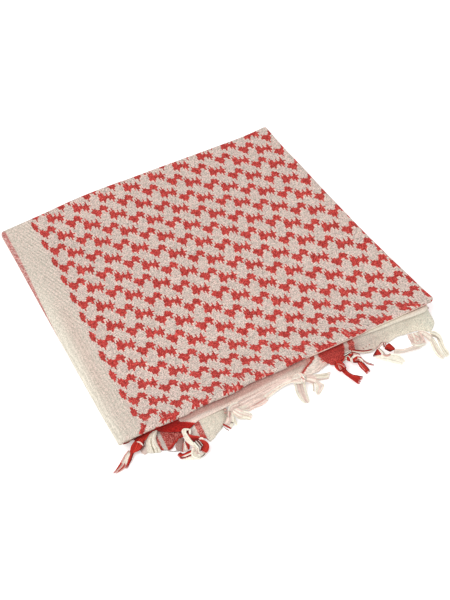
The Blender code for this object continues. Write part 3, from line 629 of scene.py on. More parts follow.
def striped_material(name, stripes, bases, shades=(), bright=None, pitch=1.25,
                     shade_and_light_falls=(), spots=(), strip=None):
    """Cloth with stripes along uv x in mm.

    stripes: from, to, strength, solidness. bases: position, colour, blend width.
    shades: axis, from, to, amount; painted shade and painted light along uv x and uv y.
    bright: uv y from which the red is clear and solid, painted darker below as painted shade.
    falls: painted shade and painted light, a tone taken between two uv y, over a range of uv x.
    spots: a tone over a range of uv x and uv y, with its strength and its softness. strip: a pale
    roll along the top, partly a painted highlight, its place, width, growth, tone and the painted
    shadow below it.
    """
    material, n, shader = principled(name)
    u, v = uv_of(n)
    ta, tb = n.math("DIVIDE", u, pitch), n.math("DIVIDE", v, pitch)
    value, cell, half, hue = grain(n, ta, tb, 20.0)
    base = bases[0][1]
    for position, colour, width in bases[1:]:
        base = n.mix(n.ramp(u, position - width, position + width), base, colour)
    # painted shade and painted light: a tone taken between two uv y, over a range of uv x
    for lo, hi, tone, left, right in shade_and_light_falls:
        side = n.math("MULTIPLY", n.ramp(u, left - 8.0, left), n.ramp(u, right + 8.0, right))
        base = n.mix(n.math("MULTIPLY", n.ramp(v, lo, hi), side), base, tone)
    base = n.mix(n.math("MULTIPLY", n.math("GREATER_THAN", cell, 0.86), 0.20), base, (0.66, 0.44, 0.38))
    base = n.mix(n.math("MULTIPLY", n.math("LESS_THAN", cell, 0.14), 0.20), base, (0.48, 0.46, 0.37))
    clouds = n.math("SUBTRACT", n.noise(n.combine(n.math("MULTIPLY", u, 0.05), n.math("MULTIPLY", v, 0.09)), 1.0, 2.0, 0.5), 0.5)
    base = shade(n, base, n.math("ADD", n.math("MULTIPLY", value, 0.50), n.math("MULTIPLY", clouds, 0.22)))
    total, solid = None, None
    for lo, hi, strength, firm in stripes:
        wob = n.math("ADD", u, n.math("MULTIPLY", n.math("SUBTRACT", cell, 0.5), 0.9))
        band = n.band(wob, lo, hi, 0.35)
        part = n.math("MULTIPLY", band, strength)
        total = part if total is None else n.math("MAXIMUM", total, part)
        part = n.math("MULTIPLY", band, firm)
        solid = part if solid is None else n.math("MAXIMUM", solid, part)
    red = n.mix(half, (0.30, 0.022, 0.018), (0.46, 0.046, 0.036))
    specks = n.math("MULTIPLY", n.math("GREATER_THAN", half, 0.62),
                    n.math("SUBTRACT", 1.0, solid, clamp=True))
    woven = n.mix(n.math("MULTIPLY", specks, 0.50), red, (0.66, 0.34, 0.29))
    # below its clear range the red is painted darker, a painted shade under the fold
    if bright:
        lo, hi, least = bright
        clear = n.mix(n.ramp(v, lo - 9.0, hi), (0.18, 0.010, 0.008), n.mix(half, (0.40, 0.018, 0.012), (0.50, 0.026, 0.018)))
        woven = n.mix(n.math("MULTIPLY", n.ramp(v, lo, hi) if least is None else 1.0,
                             1.0 if least is None else n.ramp(u, least + 1.0, least - 1.0)), woven, clear)
    woven = shade(n, woven, n.math("MULTIPLY", value, 0.85))
    colour = n.mix(total, base, woven)
    for lo, hi, top, foot, tone, strength, soft in spots:
        mask = n.math("MULTIPLY", n.band(u, lo, hi, soft), n.band(v, top, foot, soft))
        colour = n.mix(n.math("MULTIPLY", mask, strength), colour, shade(n, tone, n.math("MULTIPLY", value, 0.8)))
    # the pale roll is partly a painted highlight, and the line below it is a painted shadow
    if strip:
        left, wide, gain, tone, dark = strip
        below = n.math("SUBTRACT", v, n.math("ADD", n.math("MULTIPLY", n.math("SUBTRACT", u, left), gain), wide))
        side = n.ramp(u, left - 14.0, left + 2.0)
        lit = n.math("MULTIPLY", n.ramp(below, 0.5, -0.7), side)
        colour = n.mix(lit, colour, shade(n, tone, n.math("MULTIPLY", value, 0.3)))
        line = n.math("MULTIPLY", n.band(below, 0.2, 1.4, 0.6), side)
        colour = shade(n, colour, n.math("MULTIPLY", line, -dark))
    # painted shade and painted light: darker or lighter along uv x and uv y
    for axis, lo, hi, amount in shades:
        colour = shade(n, colour, n.math("MULTIPLY", n.ramp(u if axis == "u" else v, lo, hi), amount))
    n.link(shader.inputs["Base Color"], colour)
    weave = n.math("MULTIPLY", n.math("SINE", n.math("MULTIPLY", ta, math.pi * 2)),
                   n.math("SINE", n.math("MULTIPLY", tb, math.pi * 2)))
    bump(n, shader, n.math("MULTIPLY", weave, 0.4), 0.00022, 0.8)
    return material


# colour of the yarn by uv x: dark red, red, rose, pale pink and cream dyes, then a grey painted shade and a near black
# painted shadow; the dark red is partly a painted shade of the red
DYES_AND_PAINTED_SHADE = [(0.00, (0.150, 0.011, 0.009)), (0.08, (0.190, 0.013, 0.011)), (0.12, (0.420, 0.026, 0.019)),
        (0.20, (0.500, 0.032, 0.022)), (0.28, (0.640, 0.050, 0.034)), (0.36, (0.600, 0.200, 0.165)),
        (0.44, (0.740, 0.520, 0.460)), (0.52, (0.800, 0.640, 0.570)), (0.60, (0.850, 0.720, 0.650)),
        (0.66, (0.780, 0.715, 0.590)), (0.74, (0.860, 0.810, 0.690)), (0.84, (0.920, 0.885, 0.790)),
        (0.89, (0.470, 0.400, 0.340)), (0.92, (0.420, 0.350, 0.300)), (0.955, (0.120, 0.090, 0.080)),
        (1.00, (0.110, 0.085, 0.075))]


def yarn_material():
    """Cotton yarn: uv x picks the dye from red to cream, or a painted shade tone; uv y runs along the yarn."""
    material, n, shader = principled("yarn", 0.9)
    u, v = uv_of(n)
    co = object_coords(n)
    fine = n.noise(co, 1300.0, 2.0, 0.6)
    soft = n.noise(co, 260.0, 2.0, 0.5)
    each = n.white(n.combine(n.math("MULTIPLY", u, 977.0), 0.0, 3.0))
    node = n.tree.nodes.new("ShaderNodeValToRGB")
    ramp = node.color_ramp
    ramp.interpolation = "LINEAR"
    while len(ramp.elements) > 1:
        ramp.elements.remove(ramp.elements[-1])
    ramp.elements[0].position, ramp.elements[0].color = DYES_AND_PAINTED_SHADE[0][0], (*DYES_AND_PAINTED_SHADE[0][1], 1.0)
    for place, dye in DYES_AND_PAINTED_SHADE[1:]:
        ramp.elements.new(place).color = (*dye, 1.0)
    n.link(node.inputs[0], u)
    colour = shade(n, node.outputs["Color"], n.math("MULTIPLY", n.math("SUBTRACT", fine, 0.5), 0.55))
    colour = shade(n, colour, n.math("MULTIPLY", n.math("SUBTRACT", soft, 0.5), 0.35))
    colour = shade(n, colour, n.math("MULTIPLY", n.math("SUBTRACT", each, 0.55), 0.42))
    n.link(shader.inputs["Base Color"], colour)
    ply = n.math("SINE", n.math("MULTIPLY", v, 4.2))
    height = n.math("ADD", n.math("MULTIPLY", ply, 0.4), n.math("MULTIPLY", fine, 0.8))
    bump(n, shader, height, 0.00016, 0.8)
    return material


# ---- the outer layer ---------------------------------------------------------------
def top_surface(x, y):
    """The panel's upper face with its soft unevenness."""
    z = top_height(x, y)
    return z + 0.42 * waves(x, y, 11, 150.0, 2) + 0.15 * waves(x, y, 12, 34.0, 2)


def make_top_cloth(material):
    ring = Ring(130, 134, 14)
    x0, y0, f0 = ring.at(0.0)
    half = {k: np.full(ring.n, ROLL[k][1]) for k in SIDES}
    half["left"] = (top_height(x0, y0) - along(LEFT_BOTTOM, f0)) / 2
    rz = ring.blend(half)
    rx = ring.blend({k: np.full(ring.n, ROLL[k][0]) for k in SIDES})
    rx = rx * (1 + 0.10 * waves(x0, y0, 21, 60.0, 2))
    bulge = along(FRONT_BULGE, x0) * ring.w["front"]
    end = np.radians(ring.blend({"left": 172.0, "front": 160.0, "right": 165.0, "back": 165.0}))
    bx, by, _ = ring.at(rx)
    points, uvs, edges = [], [], []
    steps = 20
    arc = np.zeros(ring.n)
    prev = None
    roll = []
    for i in range(steps + 1):
        a = end * i / steps
        out, drop = (rx + bulge) * np.sin(a), (rz + 0.3 * bulge) * (1 - np.cos(a))
        if prev is not None:
            arc = arc + np.hypot(out - prev[0], drop - prev[1])
        prev = (out, drop)
        px, py, _ = ring.at(rx - out)
        if i == steps // 2:
            rim = arc.copy()
        roll.append((px, py, np.maximum(top_surface(px, py) - drop, 0.3), arc.copy()))
    px, py, _ = ring.at(rx - rx * np.sin(end) + 7.0)
    roll.append((px, py, np.maximum(top_surface(px, py) - rz * (1 - np.cos(end)) - 0.3, 0.3), arc + 7.0))
    start, _ = cloth_at(bx, by)
    slope = (start - along(LEFT_RIM, f0)) / rim
    for px, py, pz, arc in reversed(roll):
        i, j = cloth_at(bx + ring.nx * arc, by + ring.ny * arc)
        i = i * (1 - ring.w["left"]) + (start - slope * arc) * ring.w["left"]
        points.append(np.column_stack([px, py, pz]))
        uvs.append(np.column_stack([i, j]))
        deep = (rx - f0 * PANEL_D) * (1 - ring.w["front"]) + arc * ring.w["front"]
        edges.append(np.column_stack([deep, px]))
    d, insets = 1.5, []
    while d < 176.0:
        insets.append(d)
        d += min(1.5 + d * 0.05, 3.4)
    for d in insets:
        inset = rx * np.clip(1 - d / 60.0, 0, 1) + d
        px, py, f = ring.at(inset, shrink=True)
        i, j = cloth_at(px, py)
        points.append(np.column_stack([px, py, top_surface(px, py)]))
        uvs.append(np.column_stack([i, j]))
        edges.append(np.column_stack([4.0 - f * PANEL_D, px]))
    rows = len(points)
    faces = grid_faces(rows, ring.n)
    last = (rows - 1) * ring.n
    faces.append(tuple(range(last, last + ring.n)))
    return make_object("top_cloth", np.concatenate(points), faces, material, np.concatenate(uvs),
                       edge=np.concatenate(edges))


def make_stack_cloth(material):
    """Edges of the hidden layers: three folded bundles of uneven reach, flat underneath."""
    ring = Ring(110, 114, 10)
    inset = ring.blend({k: np.full(ring.n, CORE_INSET[k]) for k in SIDES})
    bx, by, _ = ring.at(inset)
    points, uvs = [], []
    run = np.cumsum(np.hypot(np.diff(bx, append=bx[0]), np.diff(by, append=by[0])))
    edges = [0.0]
    for i, (share, layers) in enumerate(BUNDLES):
        edges.append(edges[-1] + share)
    arc = 0.0
    for k, (share, layers) in enumerate(BUNDLES):
        reach = BUNDLE_REACH[k] + 1.3 * waves(bx, by, 40 + k, 120.0, 2)
        for m in range(layers):
            deep = reach + 0.5 * waves(bx, by, 60 + 7 * k + m, 70.0, 2)
            for q in range(7):
                t = q / 6.0
                bulge = math.sin(math.pi * t) ** 0.6
                groove = 1.0 if m in (0, layers - 1) and (t == (0.0 if m == 0 else 1.0)) else 0.45
                level = edges[k] + share * (m + t) / layers
                off = deep * 0.0 + inset - deep + (1 - bulge) * (0.9 + 1.9 * groove)
                px, py, _ = ring.at(np.maximum(off, 1.2))
                pz = 0.35 + (top_height(px, py) - 2.6 - 0.35) * level
                arc += 0.55 if q else 0.2
                i, j = cloth_at(bx + ring.nx * (arc + 9.0 * k), by + ring.ny * (arc + 9.0 * k))
                points.append(np.column_stack([px, py, pz]))
                uvs.append(np.column_stack([i, j]))
    # close over the top, inside the outer layer
    for extra in (6.0, 20.0, 60.0, 120.0, 165.0):
        px, py, _ = ring.at(inset + extra, shrink=True)
        points.append(np.column_stack([px, py, top_height(px, py) - 2.6]))
        uvs.append(np.column_stack(cloth_at(px, py)))
    rows = len(points)
    faces = grid_faces(rows, ring.n)
    faces.append(tuple(reversed(range(ring.n))))
    last = (rows - 1) * ring.n
    faces.append(tuple(range(last, last + ring.n)))
    return make_object("stack_cloth", np.concatenate(points), faces, material, np.concatenate(uvs),
                       edge=np.full((rows * ring.n, 2), -100.0))


# ---- layers under the front fold ------------------------------------------------------
def smooth_rows(table, columns, n):
    lo, hi = table[0][0], table[-1][0]
    s = np.linspace(lo, hi, n)
    return s, [along(table, s, c) for c in columns]


def bez(p0, p1, p2, t):
    return (1 - t) ** 2 * p0 + 2 * t * (1 - t) * p1 + t * t * p2


def sheet_object(name, grid, uv, material, thickness):
    """Open sheet from a grid of points (rows, columns, 3), given a thickness."""
    rows, columns = grid.shape[:2]
    obj = make_object(name, grid.reshape(-1, 3), grid_faces(rows, columns, closed=False),
                      material, uv.reshape(-1, 2))
    solid = obj.modifiers.new("thickness", "SOLIDIFY")
    solid.thickness = thickness * MM
    solid.offset = 0.0
    solid.use_even_offset = False
    apply_modifiers(obj)
    return obj


def apply_modifiers(obj):
    graph = bpy.context.evaluated_depsgraph_get()
    mesh = bpy.data.meshes.new_from_object(obj.evaluated_get(graph), depsgraph=graph)
    old = obj.data
    obj.modifiers.clear()
    obj.data = mesh
    mesh.name = old.name + "_made"
    bpy.data.meshes.remove(old)


def make_second_cloth(material):
    n = 236
    s, (xo, yo, zo, xl, yl, zl, tuck) = smooth_rows(SECOND, range(1, 8), n)
    tuck = np.clip(tuck, 0, 1)
    yo = yo + 0.5 * waves(xo, xo * 0, 71, 55.0, 2)
    grid, uv = [], []
    steps = 30
    left, start, slope = STRIP
    full = np.clip((xo - 88.0) / 24.0, 0, 1)
    for k in range(steps + 1):
        t = k / steps
        if t < 0.4:                                   # from under the fold out to the crest
            q = t / 0.4
            x = xo
            y = bez(yo + 6.5, yo + 0.3, yo, q)
            z = bez(zo + 4.2, zo + 3.6, zo, q)
        else:                                         # down to the lip or hem
            q = (t - 0.4) / 0.6
            x = xo + (xl - xo) * q
            y = bez(yo, yo + (yl - yo) * 0.25, yl, q)
            z = bez(zo, zo + (zl - zo) * 0.55, zl, q)
        # soft wrinkles that run along the roll
        w = 0.35 * np.sin(t * 17.0 + 1.4 * waves(x, x * 0, 72, 90.0, 2)) * np.sin(math.pi * min(t * 1.3, 1.0))
        # towards the right the fold above it rests on a narrow roll
        rim = np.clip(t * 24.0 + 0.7, 0, 1) * np.clip((start + slope * (s - left) + 0.7 - t * 24.0) / 1.4, 0, 1)
        w = w + 3.0 * full * rim * rim * (3 - 2 * rim)
        grid.append(np.column_stack([x - 0.18 * w * full, y - 0.7 * w, z + 0.7 * w]))
        uv.append(np.column_stack([s, np.full(n, t * 24.0)]))
    for k in range(1, 7):                             # round the lip and back under
        a = math.radians(150.0) * k / 6
        y = yl + (1 - math.cos(a)) * 1.5 * tuck - math.sin(a) * 0.5 * tuck
        z = zl - math.sin(a * 0.6) * 1.0 * tuck + (k / 6) * 0.0
        if k == 6:
            y = y + 4.0 * tuck
        grid.append(np.column_stack([xl, y + 0.02 * k, np.maximum(z - 0.02 * k, 0.5)]))
        uv.append(np.column_stack([s, np.full(n, 24.0 + k)]))
    return sheet_object("second_cloth", np.stack(grid), np.stack(uv), material, 0.7)


def make_third_cloth(material):
    n = 120
    s, (xi, yi, zi, xh, yh, zh) = smooth_rows(THIRD, range(1, 7), n)
    grid, uv = [], []
    for k in range(19):
        t = k / 18.0
        x = xi + (xh - xi) * t
        y = bez(yi, yi * 0.55 + yh * 0.45, yh, t)
        z = bez(zi, zi + 0.2, zh, t)
        w = 0.5 * waves(x, y, 81, 30.0, 2) * math.sin(math.pi * min(t, 0.9))
        ragged = 0.5 * waves(x, x * 0, 82, 9.0, 2) * (t ** 6)
        grid.append(np.column_stack([x, y + ragged, np.maximum(z + w, 0.8)]))
        uv.append(np.column_stack([s, np.full(n, t * 34.0)]))
    loose = patch([(179.0, 438.6, 5.4), (176.8, 443.2, 3.8), (175.5, 446.6, 2.6), (176.8, 450.4, 1.2)],
                  [(184.4, 438.0, 5.8), (184.0, 443.4, 4.2), (183.4, 447.6, 2.8), (182.8, 452.0, 1.0)],
                  lambda q, t: 1.0 * math.sin(math.pi * q) + 0.3 * math.sin(11 * q + 2 * t), 16, 14, -400.0, 8.0)
    return sheets_object("third_cloth", [(np.stack(grid), np.stack(uv)), loose], material, 0.7)


def patch(left, right, relief, rows=22, cols=24, tint=0.0, span=30.0):
    """Small piece of cloth between two edges given as (u, v, z) of the frame.

    relief(q, t) lifts it towards the eye, q across and t along.
    """
    left, right = np.asarray(left, float), np.asarray(right, float)
    grid, uv = [], []
    for r in range(rows):
        t = r / (rows - 1)
        k = np.array([t * (len(left) - 1)])
        lo = np.array([catmull(left[:, c], k)[0] for c in range(3)])
        hi = np.array([catmull(right[:, c], k)[0] for c in range(3)])
        line = []
        for c in range(cols):
            q = c / (cols - 1)
            u, v, z = lo * (1 - q) + hi * q
            line.append(at(u, v, max(z + relief(q, t), 0.5)))
        grid.append(line)
        uv.append([(tint + span * c / (cols - 1), 30.0 * t) for c in range(cols)])
    return np.array(grid), np.array(uv)


def make_curl_cloth(material):
    """A corner of plain cloth rolled over on itself, and the tip of the layer beside it."""
    def lobes(q, t):
        dome = 4.6 * math.sin(math.pi * min(max(q, 0.0), 1.0)) ** 0.55 * math.sin(math.pi * (0.12 + 0.80 * t)) ** 0.7
        groove = 3.4 * math.exp(-((q - (0.40 + 0.16 * t)) / 0.055) ** 2) * min(max((t - 0.32) / 0.2, 0), 1)
        second = 1.5 * math.exp(-((q - 0.80) / 0.05) ** 2) * min(max((t - 0.55) / 0.2, 0), 1)
        return dome - groove - second + 0.25 * math.sin(9 * q + 4 * t)

    grids = [patch([(154.4, 428.2, 11.5), (150.8, 432.0, 9.6), (147.4, 437.2, 7.6), (145.2, 443.0, 5.2),
                    (145.2, 448.6, 2.8), (147.6, 453.0, 0.8)],
                   [(157.2, 429.8, 11.5), (156.6, 433.6, 10.2), (155.9, 438.6, 8.4), (157.6, 444.6, 5.6),
                    (160.4, 449.4, 2.8), (160.6, 452.4, 0.8)], lobes, 34, 52, 200.0),
             patch([(144.2, 445.6, 4.6), (140.6, 449.6, 2.6), (141.6, 452.6, 1.2), (144.4, 454.4, 0.8)],
                   [(147.4, 446.0, 5.0), (147.6, 449.2, 3.2), (147.2, 452.2, 1.8), (145.6, 454.6, 0.8)],
                   lambda q, t: 1.2 * math.sin(math.pi * q), 14, 14, 320.0)]
    return sheets_object("curl_cloth", grids, material, 0.6)


def sheets_object(name, grids, material, thickness):
    """Several small sheets in one mesh."""
    points, uvs, faces, base = [], [], [], 0
    for grid, uv in grids:
        rows, cols = grid.shape[:2]
        points.append(grid.reshape(-1, 3))
        uvs.append(uv.reshape(-1, 2))
        faces += grid_faces(rows, cols, closed=False, base=base)
        base += rows * cols
    obj = make_object(name, np.concatenate(points), faces, material, np.concatenate(uvs))
    solid = obj.modifiers.new("thickness", "SOLIDIFY")
    solid.thickness = thickness * MM
    solid.offset = 0.0
    solid.use_even_offset = False
    apply_modifiers(obj)
    return obj


# ---- yarn: fringe, knots and tassels ------------------------------------------------------
class Yarns:
    """Collects yarn tubes into one mesh; uv is (tint, distance along in mm)."""

    def __init__(self, seed):
        self.rng = np.random.default_rng(seed)
        self.points, self.faces, self.uvs, self.count = [], [], [], 0

    def tube(self, path, radius, tint, sides=5, flat=1.0):
        path = np.asarray(path, float)
        n = len(path)
        radius = np.broadcast_to(np.asarray(radius, float), (n,))
        tangent = np.gradient(path, axis=0)
        tangent /= np.maximum(np.linalg.norm(tangent, axis=1, keepdims=True), 1e-9)
        side = np.cross(tangent, (0.0, 0.0, 1.0))
        length = np.linalg.norm(side, axis=1, keepdims=True)
        side = np.where(length > 0.05, side / np.maximum(length, 1e-9), (1.0, 0.0, 0.0))
        up = np.cross(side, tangent)
        ang = TAU * np.arange(sides) / sides
        ring = (path[:, None, :] + radius[:, None, None] * (
            side[:, None, :] * np.cos(ang)[None, :, None]
            + flat * up[:, None, :] * np.sin(ang)[None, :, None]))
        dist = np.concatenate([[0], np.cumsum(np.linalg.norm(np.diff(path, axis=0), axis=1))])
        base = self.count
        self.points.append(ring.reshape(-1, 3))
        tint = np.broadcast_to(np.asarray(tint, float), (n,))
        self.uvs.append(np.column_stack([np.repeat(tint, sides), np.repeat(dist, sides)]))
        self.faces += grid_faces(n, sides, True, base)
        self.faces.append(tuple(base + i for i in reversed(range(sides))))
        self.faces.append(tuple(base + (n - 1) * sides + i for i in range(sides)))
        self.count += n * sides

    def tuft(self, left, right, count, tints, thick=0.42, fray=0.06, wave=0.18, steps=16, core=True):
        """Strands side by side between two edges, on a flattened core.

        tints run from the left edge to the right; a pair of lists gives the two ends.
        """
        left, right = np.asarray(left, float), np.asarray(right, float)
        t = np.linspace(0, len(left) - 1, steps)
        lo = np.column_stack([catmull(left[:, c], t) for c in range(3)])
        hi = np.column_stack([catmull(right[:, c], t) for c in range(3)])
        centre, half = (lo + hi) / 2, (hi - lo) / 2
        width = np.linalg.norm(half, axis=1)
        tangent = np.gradient(centre, axis=0)
        tangent /= np.maximum(np.linalg.norm(tangent, axis=1, keepdims=True), 1e-9)
        up = np.cross(half, tangent)
        up /= np.maximum(np.linalg.norm(up, axis=1, keepdims=True), 1e-9)
        up *= np.where(up[:, 2:3] < 0, -1.0, 1.0)
        rise = np.clip(width * thick, 0.35, 2.4)
        f = np.linspace(0, 1, steps)
        ends = tints if isinstance(tints[0], (tuple, list)) else (tints, tints)

        def tint(q, along_it):
            first = ends[0][min(int(q * len(ends[0])), len(ends[0]) - 1)]
            last = ends[1][min(int(q * len(ends[1])), len(ends[1]) - 1)]
            return np.where(along_it < 0.5, first, last)

        if core:
            sides, keep = 10, max(3, int(steps * (1 - fray) * 0.97))
            ang = TAU * np.arange(sides) / sides
            ring = (centre[:keep, None, :] + 0.86 * half[:keep, None, :] * np.cos(ang)[None, :, None]
                    + 0.70 * rise[:keep, None, None] * up[:keep, None, :] * np.sin(ang)[None, :, None])
            ring[:, :, 2] = np.maximum(ring[:, :, 2], 0.25)
            base = self.count
            self.points.append(ring.reshape(-1, 3))
            shades = [tint((1 + math.cos(x)) / 2, f[:keep]) for x in ang]
            self.uvs.append(np.column_stack([np.stack(shades, 1).ravel(), np.repeat(f[:keep] * 40, sides)]))
            self.faces += grid_faces(keep, sides, True, base)
            self.faces.append(tuple(base + i for i in reversed(range(sides))))
            self.faces.append(tuple(base + (keep - 1) * sides + i for i in range(sides)))
            self.count += keep * sides
        upper = max(2, int(round(count * 0.62)))
        radius = np.clip(width / upper * 1.02, 0.16, 0.75)
        for k in range(count):
            if k < upper:
                place = -math.cos(math.pi * (k + 0.5) / upper) * 0.96
                place = 0.65 * place + 0.35 * (-1 + 2 * (k + 0.5) / upper)
                lift = math.sqrt(max(0.0, 1 - place * place))
            else:
                place = -math.cos(math.pi * (k - upper + 0.5) / max(count - upper, 1)) * 0.9
                lift = -math.sqrt(max(0.0, 1 - place * place))
            phase, amp = self.rng.uniform(0, TAU), wave * self.rng.uniform(0.3, 1.0)
            cut = 1.0 - fray * self.rng.random()
            sway = amp * np.sin(f * self.rng.uniform(3, 8) + phase) * (0.25 + f) / np.maximum(width, 0.5)
            path = (centre + half * (place * (1 - 0.06 * self.rng.random()) + sway)[:, None]
                    + up * (rise * (lift + 0.22 * self.rng.uniform(-1, 1)))[:, None])
            q = np.linspace(0, cut, steps)
            path = np.column_stack([np.interp(q, f, path[:, c]) for c in range(3)])
            path[:, 2] = np.maximum(path[:, 2], 0.45)
            shades = tint((place + 1) / 2, q) + self.rng.uniform(-0.025, 0.025)
            size = np.interp(q, f, radius) * (1 - 0.5 * np.clip((q / cut - 0.8) / 0.2, 0, 1))
            self.tube(path, size * self.rng.uniform(0.8, 1.15), np.clip(shades, 0.01, 0.99))

    def knot(self, centre, size, axis, tints, turns=3, radius=0.9, tilt=0.5):
        """A lump with yarns wound round it. size is (along, across, up) half-lengths."""
        c = np.asarray(centre, float)
        ax = np.array([math.cos(math.radians(axis)), math.sin(math.radians(axis)), 0.0])
        sd = np.array([-ax[1], ax[0], 0.0])
        up = np.array([0.0, 0.0, 1.0])
        # the lump, as short rings
        rings, sides = 8, 12
        base = self.count
        pts, uv = [], []
        for i in range(rings):
            a = math.pi * (i + 0.5) / rings
            for k in range(sides):
                b = TAU * k / sides
                p = (c + ax * (size[0] * -math.cos(a) * 0.92)
                     + sd * (size[1] * 0.86 * math.sin(a) * math.cos(b))
                     + up * (size[2] * 0.86 * math.sin(a) * math.sin(b)))
                pts.append((p[0], p[1], max(p[2], 0.3)))
                uv.append((tints[(i * 3 // rings) % len(tints)], i * 1.0))
        self.points.append(np.array(pts))
        self.uvs.append(np.array(uv))
        self.faces += grid_faces(rings, sides, True, base)
        self.faces.append(tuple(base + i for i in reversed(range(sides))))
        self.faces.append(tuple(base + (rings - 1) * sides + i for i in range(sides)))
        self.count += rings * sides
        # the windings
        for k in range(turns):
            g = (k + 0.5) / turns * 2 - 1
            strands = 3
            for m in range(strands):
                place = g * size[0] * 0.75 + (m - 1) * radius * 1.15
                f = np.linspace(0, TAU * 0.98, 22)
                shrink = math.sqrt(max(0.1, 1 - (place / (size[0] * 1.12)) ** 2))
                skew = tilt * size[0] * np.sin(f + 0.7 * k)
                p = (c[None, :] + ax[None, :] * (place + skew)[:, None]
                     + sd[None, :] * (size[1] * shrink * np.cos(f))[:, None]
                     + up[None, :] * (size[2] * shrink * np.sin(f))[:, None])
                p[:, 2] = np.maximum(p[:, 2], 0.5)
                tint = tints[k % len(tints)] + self.rng.uniform(-0.03, 0.03)
                self.tube(p, radius * 0.72, float(np.clip(tint, 0.01, 0.99)))

    def make(self, name, material):
        return make_object(name, np.concatenate(self.points), self.faces, material,
                           np.concatenate(self.uvs))


def catmull(values, t):
    """Catmull-Rom through the values at whole t."""
    v = np.asarray(values, float)
    k = np.clip(np.floor(t).astype(int), 0, len(v) - 2)
    s = t - k
    p0, p1 = v[np.maximum(k - 1, 0)], v[k]
    p2, p3 = v[k + 1], v[np.minimum(k + 2, len(v) - 1)]
    return 0.5 * (2 * p1 + (p2 - p0) * s + (2 * p0 - 5 * p1 + 4 * p2 - p3) * s * s
                  + (3 * p1 - p0 - 3 * p2 + p3) * s ** 3)


def at(u, v, z):
    """Working-frame point seen at place (u, v) of the 450 by 600 frame, at height z mm."""
    right, down, forward = camera_axes()
    d = forward + right * ((u - 225.0) / FOCAL) + down * ((v - 300.0) / FOCAL)
    k = (z - CAMERA[2]) / d[2]
    return CAMERA[0] + k * d[0], CAMERA[1] + k * d[1], z


# ---- stage, camera, lights -----------------------------------------------------------
def make_stage():
    material, n, shader = principled("floor", 0.9, 0.0)
    shader.inputs["Base Color"].default_value = (0.90, 0.90, 0.90, 1.0)
    shader.inputs["Emission Color"].default_value = (1.0, 1.0, 1.0, 1.0)
    shader.inputs["Emission Strength"].default_value = 0.30
    floor = make_object("floor", [(-50000, -50000, 0), (50000, -50000, 0), (50000, 50000, 0), (-50000, 50000, 0)],
                        [(0, 1, 2, 3)], material, smooth=False)
    floor.location.z = -0.0002


def camera_axes():
    forward = np.array(FORWARD) / np.linalg.norm(FORWARD)
    right = np.array(RIGHT) - forward * np.dot(RIGHT, forward)
    right /= np.linalg.norm(right)
    return right, np.cross(forward, right), forward


def make_camera():
    """Focal length 1110 px on a 450 by 600 frame; place and aim from the woven repeat."""
    data = bpy.data.cameras.new("camera")
    data.sensor_width = 36.0
    data.lens = FOCAL * 36.0 / 600.0
    data.clip_start, data.clip_end = 0.05, 20.0
    camera = bpy.data.objects.new("camera", data)
    bpy.context.scene.collection.objects.link(camera)
    right, down, forward = camera_axes()
    rows = Matrix((Vector(right), Vector(-down), Vector(-forward))).transposed().to_4x4()
    place = Vector(((CAMERA[0] - ORIGIN[0]) * MM, (CAMERA[1] - ORIGIN[1]) * MM, CAMERA[2] * MM))
    camera.matrix_world = Matrix.Translation(place) @ rows
    bpy.context.scene.camera = camera


def area_light(name, place, target, size, power, colour=(1.0, 1.0, 1.0)):
    data = bpy.data.lights.new(name, "AREA")
    data.shape = "DISK"
    data.size = size
    data.energy = power
    data.color = colour
    light = bpy.data.objects.new(name, data)
    light.location = place
    direction = Vector(target) - Vector(place)
    light.rotation_euler = direction.to_track_quat("-Z", "Y").to_euler()
    bpy.context.scene.collection.objects.link(light)


def make_lights():
    world = bpy.data.worlds.new("studio")
    bpy.context.scene.world = world
    world.use_nodes = True
    background = world.node_tree.nodes["Background"]
    background.inputs[0].default_value = (1.0, 1.0, 1.0, 1.0)
    background.inputs[1].default_value = 0.72
    area_light("key", (-0.9, -0.7, 1.9), (0, 0, 0), 1.3, 26.0, (1.0, 0.99, 0.97))
    area_light("fill", (1.3, -0.6, 1.5), (0, 0, 0), 1.6, 8.0, (0.98, 0.99, 1.0))
